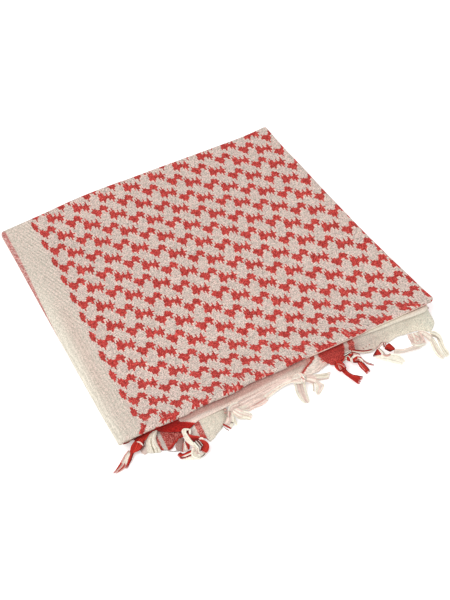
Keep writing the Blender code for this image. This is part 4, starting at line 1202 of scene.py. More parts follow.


# ---- fringe tables ------------------------------------------------------------------------
# Tufts "t": left and right edge as (u, v, z), strands, dyes and painted shade tones across (or a pair for the two
# ends), options. Knots "k": place, half-lengths, direction, dyes, options.
# places on the yarn ramp; G is a grey painted shade, DG a near black painted shadow, DR dark red partly a painted shade
DR, R, B, PR, P, PP, C, CC, G, DG = 0.04, 0.15, 0.26, 0.41, 0.51, 0.59, 0.70, 0.81, 0.905, 0.97
FRINGE = {
    "tassel_01": [
        ("t", [(154.4, 427.4, 14), (147.5, 430.8, 13), (141.5, 434.2, 12), (137.0, 438.4, 10.5)],
         [(156.0, 429.2, 12.5), (150.4, 433.6, 11.5), (146.6, 438.2, 10.5), (144.6, 442.0, 9.0)],
         20, (DR, R, DR, R, B, R, B), {"fray": 0.0, "thick": 0.6}),
        # grey and dark red strands under the fold's edge, a painted shade
        ("t", [(141.8, 433.4, 12.8), (136.6, 437.0, 11.5), (132.2, 440.0, 10.5)],
         [(142.6, 435.4, 12.2), (138.6, 438.8, 11), (134.6, 441.6, 10)], 6, (G, DR, PR), {"fray": 0.1}),
        ("t", [(120.9, 443.2, 9), (124.0, 442.4, 9.5), (129.0, 440.6, 10)],
         [(121.4, 444.4, 8.5), (124.6, 444.1, 9), (129.8, 442.2, 9.5)], 5, (R, DR, R), {"fray": 0.0}),
        ("t", [(137.2, 438.0, 10.5), (134.0, 442.4, 10.6), (131.2, 446.4, 10), (130.2, 449.8, 8), (129.8, 452.6, 6)],
         [(145.0, 440.6, 10), (144.2, 443.8, 10.4), (143.4, 446.9, 9.4), (139.8, 450.4, 7.6), (135.3, 451.8, 6)],
         24, (R, B, R, B, B, R, B, R, DR), {"fray": 0.0, "thick": 0.75}),
        ("t", [(137.0, 441.6, 13.6), (139.8, 441.9, 14.6), (142.0, 443.4, 14.2), (143.4, 445.6, 12)],
         [(137.0, 442.3, 13.6), (139.4, 442.8, 14.6), (141.2, 444.3, 14.2), (142.6, 446.0, 12)],
         4, (PP, P), {"fray": 0.0}),
        ("t", [(130.0, 450.4, 6), (129.2, 455.0, 4.5), (128.0, 460.0, 3.2), (126.2, 465.0, 2.2), (123.8, 468.3, 1.4)],
         [(135.2, 450.8, 6), (133.2, 455.0, 4.4), (131.4, 460.6, 3.2), (129.8, 463.6, 2.4), (127.2, 469.4, 1.2)],
         20, (R, B, R, B, R, DR), {"fray": 0.10}),
        ("t", [(128.4, 450.4, 5.5), (124.7, 455.0, 4.2), (121.8, 460.4, 3.2), (118.8, 465.6, 2.2),
               (115.6, 470.0, 1.5), (112.2, 473.8, 1.0)],
         [(131.4, 452.0, 5.5), (129.4, 457.0, 4.4), (127.8, 462.5, 3.2), (125.6, 467.4, 2.2),
          (119.8, 471.8, 1.5), (115.4, 474.2, 1.0)],
         18, ((R, PR, PP, CC, CC, P), (R, R, PR, P, R, PR)), {"fray": 0.14}),
    ],
    "tassel_02": [
        # dark red strands filling the shaded hole under the fold, a painted shade
        ("t", [(186.0, 429.6, 8.4), (186.4, 432.0, 8.2), (188.2, 435.4, 8.0)],
         [(189.2, 429.6, 8.4), (189.2, 432.4, 8.2), (191.0, 436.2, 8.0)], 6, (DR, DR, R), {"fray": 0.0}),
        ("t", [(188.0, 434.2, 8.8), (193.0, 436.0, 9.0), (197.5, 436.2, 9.2), (203.0, 437.4, 9.2)],
         [(190.2, 439.4, 8.6), (193.8, 442.0, 8.6), (197.4, 441.2, 8.8), (200.8, 439.8, 9.0)],
         12, (R, B, R, DR, DR), {"fray": 0.0}),
        ("t", [(188.7, 428.6, 10.2), (183.3, 428.9, 11.0), (181.5, 431.2, 10.8), (182.8, 435.1, 10.2),
               (184.4, 439.3, 9.8), (187.0, 442.6, 9.4), (190.6, 445.1, 9.0), (193.2, 447.4, 8.6), (192.8, 451.4, 6.6)],
         [(188.9, 430.0, 10.2), (186.6, 430.6, 11.0), (186.4, 432.6, 10.8), (188.1, 435.5, 10.2),
          (190.3, 438.8, 9.8), (192.7, 441.8, 9.4), (195.0, 444.4, 9.0), (196.8, 446.6, 8.8), (199.4, 451.4, 7.4)],
         16, (P, CC, C, CC, C, CC, C), {"fray": 0.0, "steps": 30}),
        ("t", [(189.0, 429.2, 10.4), (189.0, 432.0, 10.0), (189.2, 434.6, 9.4)],
         [(190.7, 429.2, 10.4), (190.7, 432.0, 10.0), (190.3, 434.8, 9.4)], 4, (C, CC), {"fray": 0.0, "steps": 8}),
        ("t", [(183.0, 443.0, 4.6), (182.8, 447.5, 3.8), (182.4, 452.0, 2.8)],
         [(184.0, 443.0, 4.6), (184.0, 447.5, 3.8), (183.8, 452.2, 2.8)], 3, (R, PR), {"fray": 0.0, "steps": 8}),
        ("t", [(184.0, 441.6, 6.2), (183.9, 446.0, 5.2), (183.2, 451.2, 3.8)],
         [(185.0, 441.6, 6.2), (186.4, 446.6, 5.2), (188.2, 451.0, 3.8)], 8, (P, CC, CC, P), {"fray": 0.0, "steps": 10}),
        ("t", [(185.2, 441.4, 5.8), (186.8, 445.6, 5.0), (188.0, 450.0, 3.8)],
         [(189.4, 443.8, 5.8), (189.8, 446.6, 5.0), (189.4, 449.8, 3.8)], 8, (R, B, R), {"fray": 0.0, "steps": 10}),
        ("t", [(194.0, 443.4, 10.0), (196.2, 446.0, 10.8), (198.6, 448.8, 9.6)],
         [(198.6, 440.4, 11.0), (201.0, 442.8, 11.4), (203.0, 445.6, 10.2)],
         12, (CC, CC, DG, CC, CC, PR, DR, DG, PP), {"fray": 0.0, "steps": 9, "thick": 0.6}),
        ("t", [(199.4, 439.2, 9.0), (203.6, 439.9, 9.6), (208.0, 442.8, 9.2), (209.6, 446.2, 8.2),
               (208.8, 450.2, 6.6), (206.6, 453.0, 5.0)],
         [(199.0, 442.6, 9.4), (200.2, 443.8, 9.4), (201.4, 445.2, 9.2), (201.4, 447.0, 8.4),
          (200.6, 448.8, 7.6), (199.4, 450.4, 6.8)],
         24, (B, R, B, B, R, B, R, DR, DR), {"fray": 0.0, "steps": 18, "thick": 0.45}),
        ("t", [(199.2, 438.4, 10.0), (201.4, 437.5, 10.6), (204.0, 438.6, 10.0)],
         [(199.6, 439.8, 10.0), (201.6, 439.1, 10.6), (203.6, 440.0, 10.0)], 4, (PP, CC), {"fray": 0.0, "steps": 8}),
        ("t", [(192.6, 447.6, 6.6), (191.2, 452.6, 4.6), (192.2, 457.4, 2.8), (197.8, 459.3, 2.0),
               (202.6, 456.6, 2.4), (206.2, 453.0, 3.6)],
         [(199.6, 447.6, 8.2), (199.8, 450.4, 7.8), (200.4, 452.0, 7.2), (201.6, 452.2, 6.8),
          (203.2, 451.2, 6.4), (205.0, 450.0, 6.0)],
         30, (C, CC, C, CC, C, CC, P, C), {"fray": 0.0, "steps": 24, "thick": 0.35}),
        ("t", [(200.4, 457.0, 4.2), (203.2, 455.4, 4.5), (205.1, 453.2, 5.0)],
         [(200.7, 457.7, 4.0), (203.7, 456.1, 4.3), (205.7, 453.8, 4.8)], 3, (DG, G), {"fray": 0.0, "steps": 8}),
        ("t", [(193.4, 447.2, 10.0), (194.9, 451.0, 9.2), (196.9, 454.6, 7.0)],
         [(194.1, 446.9, 10.0), (195.6, 450.7, 9.2), (197.5, 454.1, 7.0)], 2, (PR, P), {"fray": 0.0, "steps": 10}),
    ],
    "tassel_02_tail": [
        ("t", [(192.4, 449.6, 6.0), (188.2, 451.2, 5.2), (183.2, 453.6, 4.2), (180.2, 452.5, 3.6), (177.0, 455.0, 2.6)],
         [(192.8, 451.7, 5.4), (188.0, 453.7, 4.6), (183.6, 455.7, 3.8), (180.4, 456.8, 3.0), (177.6, 456.4, 2.2)],
         10, (DR, R, B, R, B), {"fray": 0.05}),
        ("t", [(192.6, 451.8, 5.4), (187.5, 454.2, 4.4), (182.5, 456.2, 3.2)],
         [(192.8, 453.4, 5.0), (188.0, 455.8, 4.0), (183.0, 457.6, 2.8)], 4, (CC, P), {"fray": 0.05, "steps": 10}),
        ("t", [(193.2, 453.4, 5.0), (188.0, 455.3, 4.0), (183.0, 457.1, 3.0), (179.0, 456.6, 2.2)],
         [(192.8, 455.2, 4.4), (187.6, 457.0, 3.4), (182.4, 458.8, 2.2), (179.6, 458.5, 1.8)],
         6, (R, DR, R), {"fray": 0.05}),
        ("t", [(178.4, 450.4, 1.6), (173.0, 450.9, 1.4), (167.2, 450.4, 1.6)],
         [(178.2, 451.5, 1.4), (173.0, 451.7, 1.2), (167.2, 451.2, 1.4)], 3, (G, DG), {"fray": 0.0, "core": False}),
        ("t", [(194.6, 454.8, 3.6), (189.5, 456.8, 2.6), (183.6, 458.8, 1.6)],
         [(194.8, 459.0, 2.4), (189.5, 460.2, 1.6), (183.4, 460.2, 1.1)], 9, (C, CC, C), {"fray": 0.12}),
    ],
    "tassel_03": [
        # dark strands in the gap between the roll's lip and the knot, a painted shade
        ("t", [(224.0, 409.8, 6.4), (226.9, 408.8, 7.0)], [(224.6, 413.6, 5.6), (228.2, 412.8, 6.2)],
         5, (PR, DR, G, PR), {"fray": 0.0, "steps": 6}),
        ("t", [(237.5, 401.8, 10.5), (231.8, 403.6, 11.6), (228.8, 406.8, 11.6), (228.0, 410.8, 9.6)],
         [(239.0, 406.2, 9.4), (235.2, 407.8, 10.4), (233.2, 409.2, 10.8), (232.8, 412.0, 9.0)],
         20, (CC, P, CC, P, PP, P), {"fray": 0.0, "thick": 0.7}),
        ("t", [(231.5, 405.4, 10.4), (237.0, 407.4, 8.8), (241.5, 409.8, 6.8), (246.9, 411.3, 4.8),
               (250.8, 413.0, 3.4), (252.9, 415.6, 2.4)],
         [(231.0, 412.0, 9.0), (235.5, 416.8, 6.6), (239.5, 419.3, 4.8), (244.6, 419.3, 3.4),
          (248.5, 419.8, 2.2), (251.2, 420.8, 1.4)],
         30, ((PP, P, CC, PP, P, CC, P, C), (C, CC, PP, CC, P, C, CC, C)), {"fray": 0.05, "thick": 0.25}),
        ("t", [(228.2, 409.5, 9.0), (227.2, 416.0, 6.6), (226.0, 421.0, 4.8), (223.4, 424.8, 3.2)],
         [(232.8, 410.5, 9.0), (234.0, 417.0, 6.6), (234.4, 421.0, 4.8), (231.8, 428.6, 2.6)],
         20, (P, CC, P, PP, CC, C), {"fray": 0.04, "thick": 0.3}),
        ("t", [(227.0, 412.4, 8.6), (227.0, 417.2, 7.4)], [(230.4, 412.6, 9.2), (230.2, 417.2, 8.0)],
         5, (G, P, PR), {"fray": 0.2, "steps": 7}),
        ("t", [(230.5, 421.7, 6.6), (233.3, 422.1, 6.4)], [(230.9, 423.1, 6.4), (233.1, 423.3, 6.2)],
         3, (G, DG), {"fray": 0.0, "steps": 6}),
        ("t", [(223.0, 423.5, 5.0), (227.0, 425.3, 5.6), (231.7, 428.3, 4.6)],
         [(223.3, 425.3, 4.6), (226.6, 427.1, 5.2), (231.0, 429.5, 4.2)], 6, (DR, R, R), {"fray": 0.0, "steps": 10}),
    ],
    "tassel_03_tail": [
        ("t", [(224.2, 426.6, 2.8), (226.4, 428.7, 2.8), (229.2, 430.0, 2.6)],
         [(224.6, 427.5, 2.6), (226.6, 429.7, 2.6), (229.0, 430.9, 2.4)], 3, (G, DR), {"fray": 0.0, "steps": 8}),
        ("t", [(232.6, 418.4, 4.4), (234.4, 422.4, 2.8), (235.6, 426.4, 1.4)],
         [(235.2, 418.2, 4.4), (236.6, 422.0, 2.8), (237.6, 425.6, 1.4)], 5, (CC, C), {"fray": 0.2, "steps": 10}),
    ],
    "fringe_band": [
        ("t", [(292.4, 377.0, 9.8), (284.0, 379.4, 10.2), (275.0, 383.4, 10.4), (266.0, 388.0, 10.4), (257.0, 392.6, 10.4),
               (249.0, 396.8, 10.4), (241.5, 401.0, 10.4), (235.6, 404.2, 10.4)],
         [(293.0, 382.2, 6.4), (286.0, 384.9, 4.6), (278.0, 390.0, 3.4), (268.6, 397.6, 2.2), (261.2, 404.2, 1.8),
          (253.8, 407.4, 2.0), (246.4, 410.6, 2.8), (239.0, 411.2, 5.0)],
         84, ((P, P, PP, P, PP, CC, P, PP, C), (P, PP, P, P, PP, CC, PP, P, CC)),
         {"fray": 0.0, "thick": 0.13, "wave": 0.7, "steps": 30}),
        ("t", [(262.5, 396.5, 7.4), (256.0, 400.0, 7.0), (249.5, 403.6, 6.4), (243.0, 407.0, 6.0)],
         [(268.8, 400.2, 2.4), (262.2, 405.2, 1.6), (254.2, 408.8, 1.4), (248.2, 412.2, 1.4)],
         30, (P, PP, PR, PP, P), {"fray": 0.15, "thick": 0.2, "wave": 0.7, "steps": 16}),
    ],
    "tassel_04": [
        ("t", [(293.0, 381.6, 7.6), (294.2, 386.8, 6.2), (295.2, 391.8, 4.8), (297.6, 396.8, 3.4), (301.2, 401.1, 2.2),
               (304.8, 403.6, 1.3)],
         [(304.8, 381.0, 7.6), (306.0, 386.1, 6.2), (307.2, 391.1, 4.8), (308.6, 395.5, 3.4), (309.9, 400.3, 2.2),
          (309.9, 402.8, 1.3)],
         46, ((C, CC, PP, P, P, PP, P, CC, C), (C, CC, C, PP, P, P, PP, C, CC)), {"fray": 0.05, "thick": 0.20}),
        ("t", [(291.4, 379.6, 8.4), (294.4, 375.8, 10.6), (299.0, 373.9, 11.4), (303.4, 374.8, 10.6), (306.6, 378.4, 8.0)],
         [(291.8, 382.4, 7.6), (295.6, 383.8, 8.4), (299.6, 384.2, 8.8), (303.2, 383.6, 8.2), (306.4, 381.6, 6.8)],
         26, (CC, PP, P, CC, PP, P, PP, CC), {"fray": 0.0, "thick": 0.5, "wave": 0.8}),
        ("t", [(297.0, 374.2, 12.6), (300.6, 377.6, 13.0), (301.8, 382.8, 10.6)],
         [(301.4, 373.8, 12.6), (304.6, 377.4, 12.4), (304.6, 382.6, 10.0)],
         11, (CC, PP, P, CC), {"fray": 0.0, "thick": 0.4, "wave": 0.5}),
        ("t", [(300.8, 376.6, 14.2), (304.6, 379.0, 12.2)], [(300.6, 377.5, 14.0), (304.3, 380.0, 12.0)],
         2, (PR, R), {"fray": 0.0, "steps": 6, "core": False}),
    ],
    "tassel_05": [
        ("t", [(303.2, 376.2, 8), (308.0, 374.6, 7.6), (313.6, 375.2, 7.0), (317.2, 378.4, 5.4)],
         [(305.4, 381.4, 6.4), (309.4, 382.6, 5.8), (313.4, 383.8, 5.0), (317.4, 383.2, 4.0)],
         24, (P, PP, P, CC, PP, P), {"fray": 0.0, "thick": 0.35, "wave": 0.7}),
        ("t", [(311.6, 374.6, 7.0), (318.0, 374.0, 5.4), (324.5, 373.2, 4.0), (330.9, 371.7, 2.6)],
         [(315.0, 376.9, 6.0), (319.0, 376.7, 4.6), (324.5, 376.2, 3.2), (329.8, 375.5, 1.8)],
         14, (C, G, CC, C, G, C), {"fray": 0.05, "thick": 0.3}),
        ("t", [(314.6, 376.6, 6.0), (319.0, 376.8, 4.4), (324.5, 376.4, 3.0), (329.7, 375.8, 1.9)],
         [(317.0, 380.2, 4.4), (321.0, 379.8, 3.2), (325.5, 379.3, 2.0), (329.5, 378.8, 1.2)],
         12, (C, CC, C, CC, P), {"fray": 0.06}),
    ],
    "tassel_05_tail": [
        ("t", [(312.2, 382.8, 4.6), (312.7, 387.4, 3.0), (312.8, 391.8, 1.4)],
         [(313.6, 382.8, 4.4), (314.3, 387.4, 2.8), (314.5, 392.2, 1.4)], 5, (C, G, C), {"fray": 0.1}),
        ("t", [(313.8, 382.8, 5.2), (316.0, 385.4, 4.2), (316.2, 388.4, 3.2), (315.7, 392.0, 2.0), (316.6, 395.2, 1.2)],
         [(317.4, 379.8, 5.2), (320.8, 382.8, 4.0), (324.6, 385.0, 2.8), (322.4, 389.9, 1.8), (319.2, 395.4, 1.0)],
         18, (C, CC, P, CC, PP, C), {"fray": 0.08, "thick": 0.25}),
    ],
    "tassel_06": [
        ("t", [(334.6, 363.4, 7.6), (334.4, 365.6, 8.0), (335.8, 368.6, 7.6), (339.2, 371.2, 6.4)],
         [(341.6, 361.4, 8.0), (344.0, 364.2, 8.6), (346.2, 367.2, 8.0), (346.4, 370.4, 6.8)],
         26, ((R, B, B, B, B, R, B, R), (B, R, B, PR, B, R, B, DR)), {"fray": 0.0, "thick": 0.55, "wave": 0.7}),
        ("t", [(337.4, 363.8, 11.0), (341.6, 364.6, 11.4), (345.0, 367.4, 10.2)],
         [(337.2, 364.5, 10.9), (341.2, 365.5, 11.2), (344.2, 368.3, 10.0)], 3, (PR, B), {"fray": 0.0, "steps": 10}),
        ("t", [(337.8, 361.0, 8.8), (342.4, 358.6, 9.0), (344.8, 355.4, 8.6)],
         [(340.6, 362.6, 8.6), (343.2, 360.8, 8.8), (345.4, 356.4, 8.4)], 7, (R, DR, B), {"fray": 0.0, "steps": 10, "thick": 0.3}),
        ("t", [(339.2, 370.6, 8.0), (342.8, 369.4, 9.2), (345.4, 366.8, 8.8)],
         [(340.2, 371.6, 7.8), (343.8, 370.6, 9.0), (346.6, 368.0, 8.6)], 4, (DR, R), {"fray": 0.0, "steps": 9}),
        ("t", [(334.8, 362.9, 9.8), (338.4, 363.0, 10.4), (341.8, 361.8, 10.2)],
         [(334.8, 363.7, 9.6), (338.4, 363.8, 10.2), (342.0, 362.7, 10.0)], 3, (DR, DR), {"fray": 0.0, "steps": 8}),
        ("t", [(340.6, 370.2, 6), (343.9, 373.8, 5), (347.5, 376.6, 4), (352.5, 380.2, 3), (357.1, 383.3, 2),
               (359.8, 384.1, 1.4)],
         [(346.4, 369.6, 6.8), (349.4, 372.6, 5.8), (353.5, 374.8, 4.8), (357.1, 375.3, 3.8), (360.7, 376.2, 2.8),
          (363.8, 376.2, 1.8)],
         28, (R, B, R, B, R, B, R, DR), {"fray": 0.14, "thick": 0.4}),
    ],
    "tassel_07": [
        ("t", [(350.8, 350.2, 8.6), (347.0, 352.2, 7.6), (344.0, 354.0, 6.6)],
         [(351.2, 353.4, 8.0), (348.2, 356.2, 7.0), (344.4, 358.2, 6.0)],
         8, (CC, DG, CC, DG, C), {"fray": 0.0, "steps": 10}),
        ("t", [(348.4, 357.0, 7.0), (343.5, 359.6, 5.6), (339.2, 361.9, 4.8)],
         [(348.6, 358.5, 6.8), (344.0, 361.0, 5.4), (339.6, 363.0, 4.6)], 5, (CC, C, G), {"fray": 0.0, "steps": 10}),
        ("t", [(353.2, 352.4, 9.0), (357.0, 353.0, 8.8), (360.2, 354.2, 8.2)],
         [(353.4, 353.9, 8.8), (357.0, 354.7, 8.6), (360.2, 355.3, 8.0)], 4, (DR, PR), {"fray": 0.0, "steps": 10}),
        ("t", [(349.8, 354.0, 9.2), (347.0, 357.4, 8.8), (347.4, 360.8, 7.6)],
         [(353.6, 354.6, 9.6), (352.0, 358.4, 9.2), (351.4, 362.2, 7.8)], 11, (R, B, R, B, DR), {"fray": 0.0}),
        ("t", [(352.4, 357.8, 9.4), (356.5, 356.8, 9.2), (361.2, 356.8, 8.6)],
         [(353.2, 362.6, 7.6), (357.0, 363.0, 7.2), (361.8, 361.8, 7.0)], 14, (B, R, B, R, B, DR), {"fray": 0.0}),
        ("t", [(353.5, 355.4, 11.2), (351.0, 358.6, 10.8), (350.8, 362.2, 9.0)],
         [(354.5, 356.0, 11.2), (352.1, 359.0, 10.8), (351.9, 362.6, 9.0)], 4, (CC, C), {"fray": 0.0}),
        ("t", [(352.6, 357.4, 11.0), (354.8, 355.7, 11.2), (358.4, 354.4, 10.6)],
         [(353.2, 358.3, 10.8), (355.4, 356.6, 11.0), (358.8, 355.3, 10.4)], 4, (CC, PP, CC), {"fray": 0.0}),
        ("t", [(357.6, 357.6, 10.6), (360.2, 358.2, 10.0), (362.8, 360.4, 8.6)],
         [(357.4, 358.5, 10.6), (359.8, 359.1, 10.0), (362.2, 361.3, 8.4)], 3, (C, CC), {"fray": 0.0}),
        ("t", [(350.6, 349.0, 7.4), (356.6, 350.0, 6.4), (364.4, 350.5, 5.2), (372.4, 349.0, 4.6)],
         [(350.4, 350.3, 7.2), (356.6, 351.2, 6.2), (364.4, 351.6, 5.0), (372.6, 349.9, 4.4)],
         3, (DR, R), {"fray": 0.0, "thick": 0.3}),
        ("t", [(351.0, 350.4, 6.4), (357.0, 351.4, 5.4), (364.4, 351.8, 4.2), (373.4, 350.4, 3.6)],
         [(351.0, 351.4, 6.2), (357.0, 352.4, 5.2), (364.4, 352.7, 4.0), (374.0, 351.2, 3.4)],
         3, (CC, C), {"fray": 0.0, "thick": 0.3}),
        ("t", [(362.6, 348.2, 8.0), (363.8, 348.0, 8.0)], [(362.8, 348.8, 7.8), (363.9, 348.6, 7.8)],
         2, (DR, R), {"fray": 0.0, "steps": 4, "core": False}),
        ("t", [(365.6, 346.2, 9.0), (366.8, 346.0, 9.0)], [(365.8, 346.8, 8.8), (366.9, 346.6, 8.8)],
         2, (DR, R), {"fray": 0.0, "steps": 4, "core": False}),
        ("t", [(368.8, 344.6, 9.8), (370.2, 344.4, 9.8)], [(369.0, 345.3, 9.6), (370.3, 345.1, 9.6)],
         2, (DR, R), {"fray": 0.0, "steps": 4, "core": False}),
        ("t", [(356.4, 361.6, 7), (359.8, 367.2, 5.4), (363.9, 371.0, 3.6), (367.1, 374.7, 1.8)],
         [(361.6, 360.2, 7.8), (365.0, 364.2, 6.2), (368.4, 368.2, 4.2), (370.6, 371.6, 2.0)],
         22, (R, B, R, B, R, DR), {"fray": 0.12, "thick": 0.4}),
        ("t", [(347.6, 355.6, 10.6), (350.0, 357.2, 10.8), (351.4, 360.6, 9.8)],
         [(347.2, 356.2, 10.4), (349.4, 357.8, 10.6), (350.6, 361.0, 9.6)], 3, (CC, P), {"fray": 0.0, "steps": 9}),
        ("t", [(355.0, 360.2, 9.6), (358.2, 359.8, 9.8), (361.4, 361.8, 8.8)],
         [(355.2, 360.9, 9.4), (358.2, 360.5, 9.6), (361.0, 362.5, 8.6)], 3, (P, DR), {"fray": 0.0, "steps": 9}),
        ("t", [(358.6, 363.2, 8.6), (361.6, 367.4, 7.0), (364.8, 371.0, 4.6)],
         [(359.3, 362.9, 8.6), (362.3, 367.0, 7.0), (365.6, 370.5, 4.6)], 2, (B, PR), {"fray": 0.0, "steps": 9, "core": False}),
        ("t", [(359.4, 358.4, 9.6), (361.8, 359.4, 9.2), (364.0, 362.0, 8.0)],
         [(359.4, 359.9, 9.2), (361.2, 360.9, 8.8), (362.9, 362.9, 7.6)], 3, (CC, P), {"fray": 0.0, "steps": 8}),
        ("t", [(360.6, 356.8, 8.4), (364.2, 360.2, 6.8), (367.4, 362.3, 5.2), (371.2, 363.6, 3.6), (374.8, 364.8, 2)],
         [(360.5, 358.4, 8.2), (363.8, 361.6, 6.4), (367.2, 363.9, 5.0), (371.2, 365.1, 3.2), (374.6, 365.9, 1.8)],
         5, (DR, PR, R), {"fray": 0.1}),
    ],
    "tassel_08": [
        ("t", [(378.0, 355.2, 5.4), (386.0, 354.8, 5.0), (393.0, 353.8, 4.4), (398.4, 354.6, 3.6), (403.0, 357.4, 2.6),
               (405.8, 361.2, 1.6)],
         [(373.6, 356.6, 4.6), (381.2, 359.4, 4.0), (389.6, 361.7, 3.2), (396.4, 363.6, 2.4), (400.4, 364.6, 1.6),
          (402.8, 364.9, 1.2)],
         30, (CC, CC, C, CC, CC, C, CC), {"fray": 0.06, "thick": 0.22}),
        ("t", [(379.2, 348.0, 7.0), (381.8, 350.4, 7.0), (384.9, 353.5, 6.4)],
         [(378.4, 349.5, 6.8), (380.9, 352.0, 6.8), (383.8, 354.8, 6.0)], 4, (G, C), {"fray": 0.0, "steps": 8}),
        ("t", [(383.2, 353.6, 6.4), (387.0, 354.6, 6.2), (390.4, 353.3, 6.0)],
         [(383.2, 355.0, 6.2), (387.0, 356.3, 6.0), (390.8, 354.8, 5.8)], 4, (G, PR), {"fray": 0.0, "steps": 8}),
        ("t", [(376.8, 349.2, 7.6), (375.0, 352.4, 7.0), (372.9, 356.4, 5.8)],
         [(378.0, 349.4, 7.6), (379.8, 351.9, 7.2), (381.6, 354.7, 6.2)],
         10, (DR, R, B, B, R), {"fray": 0.0, "steps": 9}),
    ],
    "tassel_08_knot": [
        ("t", [(376.2, 348.6, 8.0), (379.5, 344.8, 8.8), (382.3, 342.3, 9.0), (385.8, 342.7, 8.6)],
         [(377.6, 349.6, 7.8), (380.9, 346.5, 8.4), (382.9, 344.6, 8.6), (385.4, 344.8, 8.2)],
         6, (DR, P, PR), {"fray": 0.0}),
        ("t", [(382.0, 343.4, 8.6), (383.4, 347.6, 7.8)], [(386.0, 343.2, 8.6), (386.6, 346.4, 7.8)],
         7, (P, DR, PP, R), {"fray": 0.0, "steps": 7}),
        ("t", [(384.6, 347.9, 7.0), (388.8, 343.7, 8.6), (391.8, 345.6, 7.8), (395.1, 348.6, 6.0)],
         [(384.9, 349.3, 6.6), (387.6, 350.5, 6.6), (390.6, 351.3, 6.0), (394.8, 349.6, 5.4)],
         16, (DR, R, B, B, R, DR), {"fray": 0.0, "thick": 0.7}),
        ("t", [(394.0, 349.3, 5.0), (400.0, 348.9, 5.0), (405.5, 348.3, 5.0), (411.5, 346.3, 5.0), (416.0, 344.6, 5.0)],
         [(393.6, 353.4, 3.6), (399.0, 353.5, 3.6), (404.5, 352.7, 3.6), (414.0, 350.3, 3.6), (420.7, 348.2, 3.6)],
         16, (P, CC, P, CC, PP), {"fray": 0.0, "thick": 0.3, "steps": 18}),
    ],
    "tassel_09": [
        ("t", [(407.1, 334.9, 5.5), (409.0, 339.8, 5.4), (411.8, 345.0, 4.6)],
         [(421.0, 331.6, 7.0), (424.0, 337.0, 6.4), (425.6, 343.4, 4.8)],
         44, (P, P, PP, P, CC, P, PP, CC, P, PP, P, P), {"fray": 0.0, "thick": 0.10, "wave": 1.2}),
        ("t", [(414.5, 334.8, 9.4), (417.0, 335.8, 9.6), (420.2, 338.4, 9.4), (419.0, 339.7, 9.2), (416.0, 340.3, 9.0)],
         [(414.5, 335.7, 9.4), (416.8, 336.7, 9.6), (419.2, 338.7, 9.4), (418.6, 340.6, 9.2), (416.0, 341.2, 9.0)],
         2, (G, PR), {"fray": 0.0, "core": False}),
        ("t", [(409.8, 336.6, 8.6), (413.2, 338.2, 9.0), (412.0, 341.2, 8.4), (415.2, 343.0, 7.6)],
         [(409.8, 337.3, 8.6), (412.4, 338.9, 9.0), (411.4, 341.8, 8.4), (415.0, 343.8, 7.6)],
         2, (PR, P), {"fray": 0.0, "core": False}),
        ("t", [(420.6, 334.0, 9.0), (422.9, 337.2, 8.8), (425.0, 340.4, 7.6)],
         [(420.2, 334.8, 9.0), (422.3, 338.0, 8.8), (424.4, 341.2, 7.6)], 3, (PR, P), {"fray": 0.0, "core": False}),
        ("t", [(412.0, 342.6, 5.2), (417.0, 343.4, 5.4), (424.6, 342.0, 5.0)],
         [(413.4, 346.4, 4.0), (418.6, 347.6, 4.0), (425.2, 344.8, 3.8)], 10, (P, CC, C), {"fray": 0.0}),
    ],
    "tassel_10": [
        ("t", [(417.6, 330.2, 6.2), (424.0, 330.9, 6.8), (430.0, 333.8, 7.0), (433.2, 336.4, 6.8)],
         [(419.0, 334.0, 5.4), (424.8, 337.0, 5.6), (428.2, 340.2, 5.6), (430.0, 342.0, 5.4)],
         18, (CC, P, CC, PP, CC, P), {"fray": 0.0, "thick": 0.35}),
        ("t", [(428.6, 339.4, 5.6), (431.6, 346.8, 4.8), (434.5, 353.0, 3.6), (438.6, 357.4, 2.4), (443.2, 360.2, 1.4)],
         [(433.8, 338.2, 6.4), (438.4, 345.6, 5.2), (441.4, 350.6, 4.0), (444.4, 354.8, 2.6), (445.6, 357.4, 1.6)],
         26, (C, CC, C, P, C, C, CC, C), {"fray": 0.12, "thick": 0.28}),
        ("t", [(436.9, 339.2, 6.8), (439.8, 346.4, 5.2), (443.8, 353.2, 3.6), (447.4, 358.4, 1.6)],
         [(442.6, 339.6, 6.6), (444.4, 346.0, 5.0), (448.2, 350.8, 3.4), (450.2, 355.6, 1.6)],
         20, (C, CC, C, C, CC, C), {"fray": 0.12, "thick": 0.30}),
        ("t", [(430.4, 330.8, 7.0), (435.0, 331.4, 8.2), (438.4, 333.2, 8.6), (441.2, 336.3, 8.0), (442.6, 340.6, 6.4)],
         [(430.0, 335.6, 6.6), (433.8, 336.8, 7.6), (436.6, 338.4, 8.0), (438.4, 340.1, 7.6), (439.2, 342.0, 6.4)],
         18, (C, CC, CC, C, G), {"fray": 0.0, "thick": 0.4}),
    ],
}


def make_fringe(material):
    made = []
    for number, (node, parts) in enumerate(FRINGE.items()):
        yarns = Yarns(300 + number)
        for part in parts:
            if part[0] == "t":
                _, left, right, count, tints, options = part
                yarns.tuft([at(*p) for p in left], [at(*p) for p in right], count, tints, **options)
            else:
                _, place, size, axis, tints, options = part
                yarns.knot(at(*place), size, axis, tints, **options)
        piece = yarns.make(node + "_yarn", material)
        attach(piece, "root")
        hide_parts(node)
        made.append(piece)
    return made


# ---- build ------------------------------------------------------------------------------
bpy.context.scene.view_settings.view_transform = "Standard"
make_camera()
make_stage()
make_lights()

